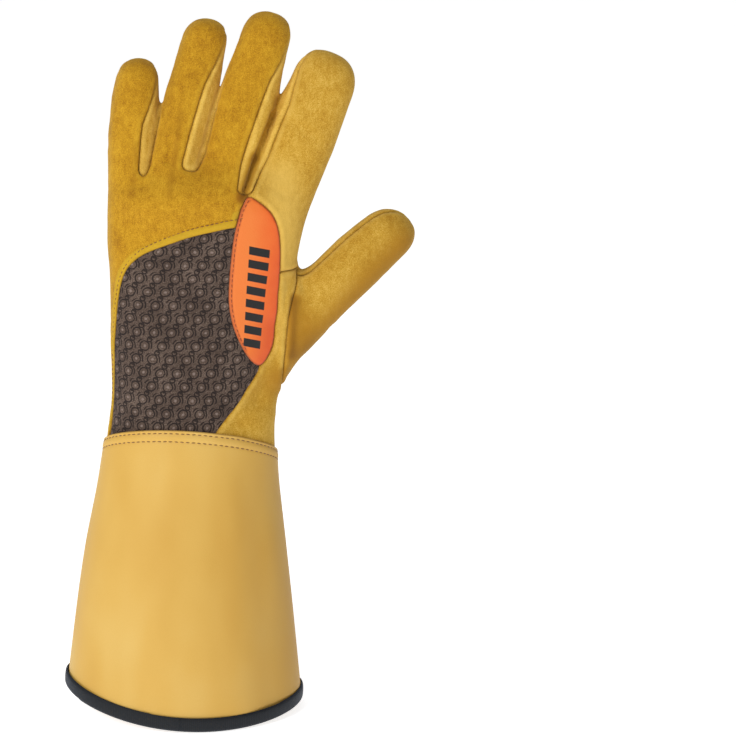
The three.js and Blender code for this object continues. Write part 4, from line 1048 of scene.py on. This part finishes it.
tag = {"width": 4.6, "length": 25, "wall": 0.9, "rows": 60, "columns": 14, "blackShare": 0.36,
       "square": 0.45, "offSeam": 1.4, "offHem": 1.05, "wave": 0.175}


def tagSurface():
    # a strip with rounded edges: a flat oval profile carried up the outer seam, with a slight wave
    halfAngle = tag["width"] / hand["wristWidth"] / degree
    seamAt = float(curveThrough(*outerSeam, 0.0))
    centre = seamAt + tag["offSeam"] * halfAngle
    foot = max(cuffTop(centre + halfAngle), cuffTop(centre - halfAngle)) + tag["offHem"]
    share = np.linspace(0, 1, tag["rows"])[:, None]
    turn = (np.arange(tag["columns"]) / tag["columns"] * 2 * math.pi)[None]
    across, out = (np.sign(part) * np.abs(part) ** tag["square"] for part in (np.cos(turn), np.sin(turn)))
    around = centre - across * halfAngle + 0 * share
    z = foot + tag["length"] * share + 0 * turn
    lift = cuff["gap"] + tag["wall"] / 2 * (1 + out) + tag["wave"] * np.sin(share * 5) ** 2
    points, _ = onArm(around, z, lift)
    uv = np.stack(np.broadcast_arrays(across * tag["width"] / 2, tag["length"] * share), -1) / mapUnit
    return points, uv.reshape(-1, 2)


# finishes: shader sums written as plain expressions

class Flow:  # a socket that can be added to, multiplied and so on; each step adds its Math node
    def __init__(self, finish, socket):
        self.finish, self.socket = finish, socket

    def step(self, operation, *others):
        values = {i + 1: other for i, other in enumerate(others)}
        return self.finish.node("ShaderNodeMath", {"operation": operation}, {0: self, **values})

    def __add__(self, other):
        return self.step("ADD", other)

    def __sub__(self, other):
        return self.step("SUBTRACT", other)

    def __rsub__(self, other):
        return self.finish.node("ShaderNodeMath", {"operation": "SUBTRACT"}, {0: other, 1: self})

    def __mul__(self, other):
        return self.step("MULTIPLY", other)

    def __truediv__(self, other):
        return self.step("DIVIDE", other)

    __radd__, __rmul__ = __add__, __mul__

    def ease(self, low, high):  # 0 below low and 1 above high, smooth between
        return self.finish.node("ShaderNodeMapRange", {"interpolation_type": "SMOOTHSTEP"},
                                {"Value": self, "From Min": low, "From Max": high})


class Finish:  # a material, its Principled shader and the nodes that feed it
    def __init__(self, name, **fixed):
        self.material = bpy.data.materials.new(name)
        self.material.use_nodes = True
        self.tree = self.material.node_tree
        self.shader = next(n for n in self.tree.nodes if n.type == "BSDF_PRINCIPLED")
        for key, value in fixed.items():
            self.shader.inputs[key.replace("_", " ")].default_value = value

    def node(self, kind, settings=None, inputs=None, output=0):
        made = self.tree.nodes.new(kind)
        for key, value in (settings or {}).items():
            if key == "stops":
                ramp = made.color_ramp
                while len(ramp.elements) < len(value):
                    ramp.elements.new(0.5)
                for element, (place, colour) in zip(ramp.elements, value):
                    element.position, element.color = place, colour
            else:
                setattr(made, key, value)
        for key, value in (inputs or {}).items():
            if isinstance(value, Flow):
                self.tree.links.new(value.socket, made.inputs[key])
            else:
                made.inputs[key].default_value = value
        return Flow(self, made.outputs[output])

    def place(self):  # object coordinates in millimetres
        at = self.node("ShaderNodeTexCoord", output="Object")
        return self.node("ShaderNodeVectorMath", {"operation": "SCALE"}, {0: at, "Scale": 1000})

    def lay(self):  # the piece's own map, millimetres along and up it
        at = self.node("ShaderNodeUVMap", {"uv_map": "lay"})
        at = self.node("ShaderNodeVectorMath", {"operation": "SCALE"}, {0: at, "Scale": mapUnit})
        return at, self.part(at, 0), self.part(at, 1)

    def part(self, at, axis):  # one coordinate of a place
        return self.node("ShaderNodeSeparateXYZ", inputs={0: at}, output=axis)

    def noise(self, at, size, detail=2, rough=0.55, stretch=(1, 1, 1)):
        if stretch != (1, 1, 1):
            at = self.node("ShaderNodeVectorMath", {"operation": "MULTIPLY"}, {0: at, 1: stretch})
        return self.node("ShaderNodeTexNoise", inputs={"Vector": at, "Scale": 1 / size, "Detail": detail,
                                                       "Roughness": rough}, output="Fac")

    def attribute(self, name):
        return self.node("ShaderNodeAttribute", {"attribute_name": name}, output="Fac")

    def ramp(self, share, *stops):
        return self.node("ShaderNodeValToRGB", {"stops": stops}, {"Fac": share}, "Color")

    def mix(self, share, a, b):
        return self.node("ShaderNodeMix", {"data_type": "RGBA"}, {0: share, 6: a, 7: b}, 2)

    def cover(self, colour, *layers):  # each layer is its share and its colour
        for share, over in layers:
            colour = self.mix(share, colour, over)
        return colour

    def pebble(self, at, size):
        inputs = {"Vector": at, "Scale": 1 / size}
        return self.node("ShaderNodeTexVoronoi", {"feature": "F1"}, inputs, "Distance")

    def bands(self, at, scale, distortion, detail=2.0):  # slanting
        inputs = {"Vector": at, "Scale": scale, "Distortion": distortion, "Detail": detail}
        settings = {"wave_type": "BANDS", "bands_direction": "DIAGONAL"}
        return self.node("ShaderNodeTexWave", settings, inputs, "Fac")

    def feed(self, colour, roughness=None, height=None, depth=0.2, strength=1.0):
        # height in shares of a depth in millimetres
        links = {"Base Color": colour, "Roughness": roughness}
        if height is not None:
            links["Normal"] = self.node("ShaderNodeBump", inputs={"Strength": strength,
                                        "Distance": depth * milli, "Height": height}, output="Normal")
        for key, value in links.items():
            if isinstance(value, Flow):
                self.tree.links.new(value.socket, self.shader.inputs[key])
            elif value is not None:
                self.shader.inputs[key].default_value = value
        return self.material


def rgb(red, green, blue):  # a colour as it shows on a screen, 0 to 255
    parts = (((c / 255 + 0.055) / 1.055) ** 2.4 if c > 10 else c / 3295 for c in (red, green, blue))
    return (*parts, 1)


suedeTones = {  # shadowed nap (also the painted shade), main colour, brushed nap (also the painted light and highlight), the painted shade in a seam's groove and deep clefts, raw flesh side
    "mustard": ((146, 94, 6), (187, 136, 20), (212, 164, 40), (112, 66, 6), (196, 160, 84)),
    "tan": ((168, 118, 26), (198, 152, 48), (222, 182, 86), (128, 82, 16), (206, 170, 96)),
    "light": ((184, 134, 34), (213, 167, 60), (236, 198, 100), (128, 82, 16), (206, 170, 96)),
    "palm": ((170, 136, 24), (203, 170, 50), (222, 194, 76), (122, 90, 14), (206, 172, 92)),
}


napSize = {"grain": 0.55, "nap": 2.6, "cloud": 15}  # millimetres


def suede(name, look, sheen):
    # colour: three sizes of noise through a ramp, a painted highlight on a seam's crest, painted shade in its
    # groove and in deep clefts, and painted light and shade from the tone field
    f = Finish(name, Sheen_Weight=sheen, Sheen_Roughness=0.45, Sheen_Tint=rgb(240, 224, 150),
               Specular_IOR_Level=0.25)
    shade, main, brushedAndLit, grooveShade, flesh = (rgb(*tone) for tone in suedeTones[look])
    at = f.place()
    if look == "palm":  # the same hide runs from the yellower palm round to a tan back
        palmward = (f.part(at, 1) - f.part(at, 0).ease(30, 120) * 17).ease(-4, 9)
        shade, main, brushedAndLit, grooveShade, flesh = (
            f.mix(palmward, rgb(*back), tone)
            for back, tone in zip(suedeTones["tan"], (shade, main, brushedAndLit, grooveShade, flesh)))
    grain = f.noise(at, napSize["grain"], 3, 0.6)
    nap = f.noise(at, napSize["nap"], 3, 0.6, (1, 1, 0.6))
    cloud = f.noise(at, napSize["cloud"], 2)
    # the tone attribute is painted light where positive and painted shade where negative
    seam, inside, paintedLightShade = f.attribute("seam"), f.attribute("inside"), f.attribute("tone")
    tone = grain * 0.6 + nap * 0.27 + cloud * 0.2 - 0.035
    # painted highlight along each seam's crest, in the brushed colour
    crest = seam.ease(0.5, 1.6) * (1 - seam.ease(2.2, 4.2))
    colour = f.cover(shade, (tone.ease(0.3, 0.54), main), (tone.ease(0.46, 0.7), brushedAndLit),
                     (crest * (0.1 + 0.55 * nap), brushedAndLit))
    if look == "mustard":  # the turned hem between its stitches and the printed fabric
        hem = (1 - seam.ease(3.4, 4.6)) * (1 - f.attribute("row").ease(3.6, 5))
        colour = f.mix(hem * 0.65, colour, rgb(197, 160, 38))
    # painted light and painted shade from the tone field, a darker painted shade in the deepest clefts,
    # painted shade in each seam's groove, then the flesh side inside
    shadow = 0 - paintedLightShade
    colour = f.cover(colour, (paintedLightShade.ease(0, 1) * (0.5 + 0.5 * nap), brushedAndLit),
                     (shadow.ease(0, 1) * 0.9, shade), (shadow.ease(0.7, 1.9) * 0.75, grooveShade),
                     ((1 - seam.ease(0, 0.8)) * 0.45, grooveShade), (inside * 0.8, flesh))
    roughness = 0.82 + 0.16 * grain
    return f.feed(colour, roughness, grain * 0.7 + nap * 0.5, 0.35, 0.8)


def smoothLeather(name):
    # colour: slow clouds over a pale tan, darkened towards the thumb side as painted shade, with a fine
    # pebbled grain in the bump
    f = Finish(name, Sheen_Weight=0.12, Sheen_Tint=rgb(255, 236, 190), Specular_IOR_Level=0.4)
    at = f.place()
    cloud = f.noise(at, 42, 2, 0.5, (1, 1, 0.45))
    fine = f.noise(at, 0.8, 3, 0.6)
    inside, row = f.attribute("inside"), f.attribute("row")
    colour = f.ramp(cloud + 0.12 * fine - 0.06, (0.32, rgb(211, 164, 70)), (0.52, rgb(218, 174, 82)),
                    (0.7, rgb(223, 184, 98)))
    # painted shade: the leather darker and deeper towards the thumb side, away from the key light
    thumbwardShade, edge = f.part(at, 0).ease(-5, 64), 1 - row.ease(0.1, 0.9)
    flesh = f.mix(fine, rgb(196, 160, 104), rgb(220, 190, 140))
    colour = f.cover(colour, (thumbwardShade * 0.55, rgb(178, 132, 42)), (edge * 0.45, rgb(176, 128, 58)),
                     (inside * 0.85, flesh))
    roughness = 0.5 + 0.14 * fine + 0.3 * inside
    return f.feed(colour, roughness, f.pebble(at, 0.75) * 0.7 + fine * 0.6, 0.1, 0.45)


patchPrint = {  # the row of plain bars on the side patch, millimetres on its own map
    "foot": 53.5, "pitch": 7.2, "bar": 4.6, "count": 8, "halfWidth": 4.8, "slant": 0.25,
    "middle": 29.4, "lean": -0.029,
}


def orangeLeather(name):
    # colour: bright orange, deeper towards the thumb side, with a row of slanted black bars
    f = Finish(name, Specular_IOR_Level=0.45, Sheen_Weight=0.08)
    at = f.place()
    _, around, up = f.lay()
    fine, cloud = f.noise(at, 0.7, 3, 0.6), f.noise(at, 12, 2)
    p = patchPrint
    seam, row = f.attribute("seam"), f.attribute("row")
    colour = f.ramp(around * 0.03 - 0.6 + cloud * 0.3 + 0.1 * fine,
                    (0.3, rgb(234, 122, 44)), (0.62, rgb(232, 101, 24)), (0.8, rgb(224, 86, 14)))
    colour = f.cover(colour, ((1 - seam.ease(0.1, 1.4)) * 0.6, rgb(130, 42, 8)),
                     ((1 - row.ease(0.3, 1.1)) * 0.4, rgb(170, 62, 14)))
    across = around - p["middle"] - (up - p["foot"]) * p["lean"]
    climb = (up - p["foot"] + across * p["slant"]) / p["pitch"]
    beat = climb.step("FRACT") * p["pitch"]
    width = p["halfWidth"]
    inBar = (beat.ease(0.1, 0.4) * (1 - beat.ease(p["bar"], p["bar"] + 0.3)) * climb.step("GREATER_THAN", 0)
             * climb.step("LESS_THAN", p["count"]) * (1 - across.step("ABSOLUTE").ease(width, width + 0.25)))
    colour = f.mix(inBar, colour, rgb(5, 4, 4))
    height = f.pebble(at, 0.8) * 0.6 + fine * 0.5 + inBar * 0.35
    return f.feed(colour, 0.42 + 0.16 * fine, height, 0.12, 0.5)


printCell = {  # millimetres: the cell, its motifs and how far the rows wander
    "wide": 9.2, "high": 7.4, "ring": 2.5, "line": 0.42, "dot": 0.75, "small": 1.25, "arc": 3.9,
    "sideways": 1.6, "upwards": 1.4,
}


def printedFabric(name):
    # colour: a plain weave with rings, dots and broken arcs set half a cell apart row by row
    f = Finish(name, Sheen_Weight=0.2, Sheen_Tint=rgb(170, 150, 150), Specular_IOR_Level=0.3)
    at, around, up = f.lay()
    c = printCell
    u, v = around + f.noise(at, 6, 2) * c["sideways"], up + f.noise(at, 5, 1) * c["upwards"]

    def outline(reach, radius):
        return 1 - (reach - radius).step("ABSOLUTE").ease(c["line"] * 0.5, c["line"] * 1.3)

    def cells(shiftX, shiftY):
        y = v / c["high"] + shiftY
        odd = (y.step("FLOOR") * 0.5).step("FRACT")
        x = u / c["wide"] + shiftX + odd
        dx = (x.step("FRACT") - 0.5) * c["wide"]
        dy = (y.step("FRACT") - 0.5) * c["high"]
        return (dx * dx + dy * dy).step("SQRT"), dx, dy

    reach, dx, dy = cells(0, 0)
    broken = (dy.step("ARCTAN2", dx) * 3 + 1.2).step("SINE").ease(-0.2, 0.3)
    dot = 1 - reach.ease(c["dot"] * 0.6, c["dot"] * 1.2)
    small = outline(cells(0.25, 0.5)[0], c["small"])
    lines = outline(reach, c["ring"]).step("MAXIMUM", outline(reach, c["arc"]) * broken)
    lines = lines.step("MAXIMUM", small)
    weave = f.bands(at, 0.62, 1.2)
    speck = f.noise(at, 0.7, 3, 0.65)
    blot = f.noise(at, 14, 2)
    ground = f.ramp(speck * 0.8 + blot * 0.35 - 0.07, (0.3, rgb(46, 33, 27)), (0.52, rgb(86, 70, 60)),
                    (0.74, rgb(134, 116, 104)))
    colour = f.cover(ground, (lines * (0.8 + 0.2 * speck), rgb(22, 14, 12)), (dot * 0.6, rgb(148, 131, 122)),
                     ((1 - f.attribute("seam").ease(0.2, 1.2)) * 0.5, rgb(20, 14, 14)))
    return f.feed(colour, 0.8 + 0.1 * speck, weave * 0.5 + speck * 0.6 - lines * 0.5, 0.16, 0.8)


def blackTape(name):
    # colour: near black ribs across the tape, faintly blue where the threads catch the light
    f = Finish(name, Sheen_Weight=0.25, Sheen_Tint=rgb(120, 140, 170), Specular_IOR_Level=0.35)
    at, along, across = f.lay()
    rib, cross = (wave.step("SINE") * 0.5 + 0.5 for wave in (along * 6.2, across * 5.0 + along * 3.1))
    speck = f.noise(f.place(), 1.1, 2)
    colour = f.ramp(rib * 0.45 + speck * 0.5, (0.2, rgb(5, 7, 10)), (0.8, rgb(20, 25, 32)))
    return f.feed(colour, 0.55 + 0.2 * speck, rib * 0.7 + cross * 0.4, 0.14, 0.7)


def webbing(name):
    # colour: orange ribs with a plain black end at the foot
    f = Finish(name, Specular_IOR_Level=0.3)
    at, across, up = f.lay()
    rib = (up * 8.5).step("SINE") * 0.5 + 0.5
    speck = f.noise(at, 0.5, 2)
    blackEnd = tag["length"] * tag["blackShare"]
    black = 1 - up.ease(blackEnd - 0.2, blackEnd + 0.2)
    edge = across.step("ABSOLUTE").ease(tag["width"] * 0.33, tag["width"] * 0.36)
    orange = f.cover(rgb(196, 62, 12), (rib * 0.5 + speck * 0.4, rgb(240, 98, 30)),
                     (edge * 0.5, rgb(176, 50, 10)))
    colour = f.mix(black, orange, f.mix(rib, rgb(8, 8, 9), rgb(26, 26, 28)))
    return f.feed(colour, 0.75, rib * 0.8 + speck * 0.3, 0.12, 0.8)


def thread(name, tone):
    # colour: one twisted thread, its plies drawn by a fine band
    f = Finish(name, Sheen_Weight=0.2)
    ply = f.bands(f.place(), 1.1, 1.5)
    dark = tuple(part * 0.45 for part in rgb(*tone)[:3]) + (1,)
    colour = f.mix(ply * 0.8 + 0.1, dark, rgb(*tone))
    return f.feed(colour, 0.6, ply, 0.08, 0.6)


print("cutting the hand into its panels")
skin = cutHand()
normals = unit(slopeOf(handDistance, skin["points"]))

rowPlaces = {"hemInset": -4.4, "patchInset": 1.9}
hemRow = outlinePath(fabricOutline, rowPlaces["hemInset"],
                     lambda around, up: (up > 0.06) & ((around < -40) | (up > 0.8)) & (around < 24))
patchRow = outlinePath(patchOutline, rowPlaces["patchInset"],
                       lambda around, up: around < np.where(up > 0.98, 28, 37 - 9 * np.abs(up - 0.72)))
stitchPathsOf = {"back_leather": [evenly(hemRow, rowStep)], "side_patch": [evenly(patchRow, rowStep)]}

finishes = {
    "mustard": suede("mustard leather", "mustard", 0.35), "tan": suede("tan suede", "tan", 0.35),
    "light": suede("light suede", "light", 0.4),
    "palm": suede("palm suede", "palm", 0.4), "sleeve": smoothLeather("cuff leather"),
    "patch": orangeLeather("orange leather"), "fabric": printedFabric("printed fabric"),
    "tape": blackTape("black tape"), "webbing": webbing("tag webbing"),
    "brownThread": thread("brown thread", (150, 98, 40)), "rustThread": thread("rust thread", (176, 70, 22)),
    "goldThread": thread("gold thread", (156, 96, 20)),
}
panelFinish = {
    "back_leather": ("mustard", "mustard_leather"), "back_fabric": ("fabric", "printed_fabric"),
    "side_patch": ("patch", "orange_leather"), "side_panel": ("tan", "palm_suede"),
    "palm_leather": ("palm", "palm_suede"), "ring_front": ("palm", "palm_suede"),
    "middle_front": ("palm", "palm_suede"), "gusset_pinky_ring": ("tan", "tan_suede"),
    "gusset_ring_middle": ("light", "tan_suede"), "gusset_middle_index": ("light", "tan_suede"),
    "thumb_back": ("tan", "palm_suede"),
}
for name, (finish, slotName) in panelFinish.items():
    made = buildPanel(skin, normals, name, stitchPathsOf.get(name, []))
    dress(made, finishes[finish], slotName, name)
    print("panel", name, len(made.data.polygons))

print("cuff, binding and tag")
for name, node, surface, finish, slotName in (
        ("cuff_sleeve", "cuff", cuffSurface, "sleeve", "cuff_leather"),
        ("rim_tape", "rim_binding", bindingSurface, "tape", "black_tape"),
        ("tag_strip", "side_tag", tagSurface, "webbing", "tag_webbing")):
    points, uv, *fields = surface()
    rows, columns = points.shape[:2]
    isRing = surface is not tagSurface
    groups = [gridFaces(rows, columns, isRing)]
    if not isRing:
        groups.append(np.stack([np.arange(columns)[::-1], np.arange(columns) + (rows - 1) * columns]))
    made = makeMesh(name, points.reshape(-1, 3), groups, uv, *fields)
    dress(made, finishes[finish], slotName, node)

print("stitches")
stitch = {  # millimetres, but for how far lengths vary and how ends taper
    "pitch": 3.1, "length": 2.3, "radius": 0.3, "rise": 0.14, "sink": 0.3, "drift": 0.12, "slant": 0.15,
    "uneven": 0.08, "taper": 0.93, "fullness": 0.3,
}
makeStitches("cuff_stitches", cuffRows(), stitch, finishes["brownThread"], "cuff_leather", 11)


def surfaceRow(path, lift):  # the row at even steps off the form, with its normals
    path = evenly(path, rowStep)
    normal = unit(slopeOf(handDistance, path))
    return path + normal * lift, normal


fineStitch = dict(stitch, pitch=2.7, length=1.9, radius=0.24)
for name, row, lift, finish, slotName, seed in (
        ("hem_stitches", hemRow, -0.12, "goldThread", "mustard_leather", 12),
        ("patch_stitches", patchRow, 0, "rustThread", "orange_leather", 13)):
    makeStitches(name, [surfaceRow(row, lift)], fineStitch, finishes[finish], slotName, seed)

print("floor, light and camera")
view = {"target": (0.026, 0, 0.038), "elevation": 12, "distance": 1.3, "focal": 2340, "frame": 736,
        "targetAt": (236.8, 368.6), "lightAim": (0.02, 0, 0.03), "floorReach": 200, "floorGap": 0.0005}


def addFloor():
    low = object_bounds()[0][2] - view["floorGap"]
    size = view["floorReach"]
    mesh = bpy.data.meshes.new("floor")
    corners = [(-size, -size, low), (size, -size, low), (size, size, low), (-size, size, low)]
    mesh.from_pydata(corners, [], [(0, 1, 2, 3)])
    floor = addToScene("floor", mesh)
    f = Finish("pale floor", Emission_Color=(1, 1, 1, 1), Emission_Strength=0.78)
    floor.data.materials.append(f.feed(rgb(247, 247, 247), 0.9))


def addLight(name, place, size, power, tint=(1, 1, 1)):
    lamp = bpy.data.lights.new(name, "AREA")
    lamp.size, lamp.energy, lamp.color = size, power, tint
    lampObject = addToScene(name, lamp)
    lampObject.location = place
    x, y, z = np.array(view["lightAim"]) - np.array(place)
    lampObject.rotation_euler = (math.atan2(math.hypot(x, y), -z), 0, math.atan2(-x, y))


def addCamera():
    camera = bpy.data.cameras.new("camera")
    camera.sensor_width = 36
    camera.lens = view["focal"] / view["frame"] * camera.sensor_width
    half = view["frame"] / 2
    camera.shift_x = (half - view["targetAt"][0]) / view["frame"]
    camera.shift_y = (view["targetAt"][1] - half) / view["frame"]
    camera.clip_start, camera.clip_end = 0.05, 100
    made = addToScene("camera", camera)
    tilt = view["elevation"] * degree
    x, y, z = view["target"]
    made.location = (x, y - view["distance"] * math.cos(tilt), z + view["distance"] * math.sin(tilt))
    made.rotation_euler = (math.pi / 2 - tilt, 0, 0)
    bpy.context.scene.camera = made


addFloor()
addLight("key", (-1.0, -1.65, 1.15), 0.8, 25)
addLight("top", (-0.2, 0.7, 1.8), 1.4, 4)
world = bpy.data.worlds.new("studio")
bpy.context.scene.world = world
world.use_nodes = True
world.node_tree.nodes["Background"].inputs["Color"].default_value = (1, 1, 1, 1)
world.node_tree.nodes["Background"].inputs["Strength"].default_value = 0.24
bpy.context.scene.view_settings.view_transform = "Standard"
addCamera()
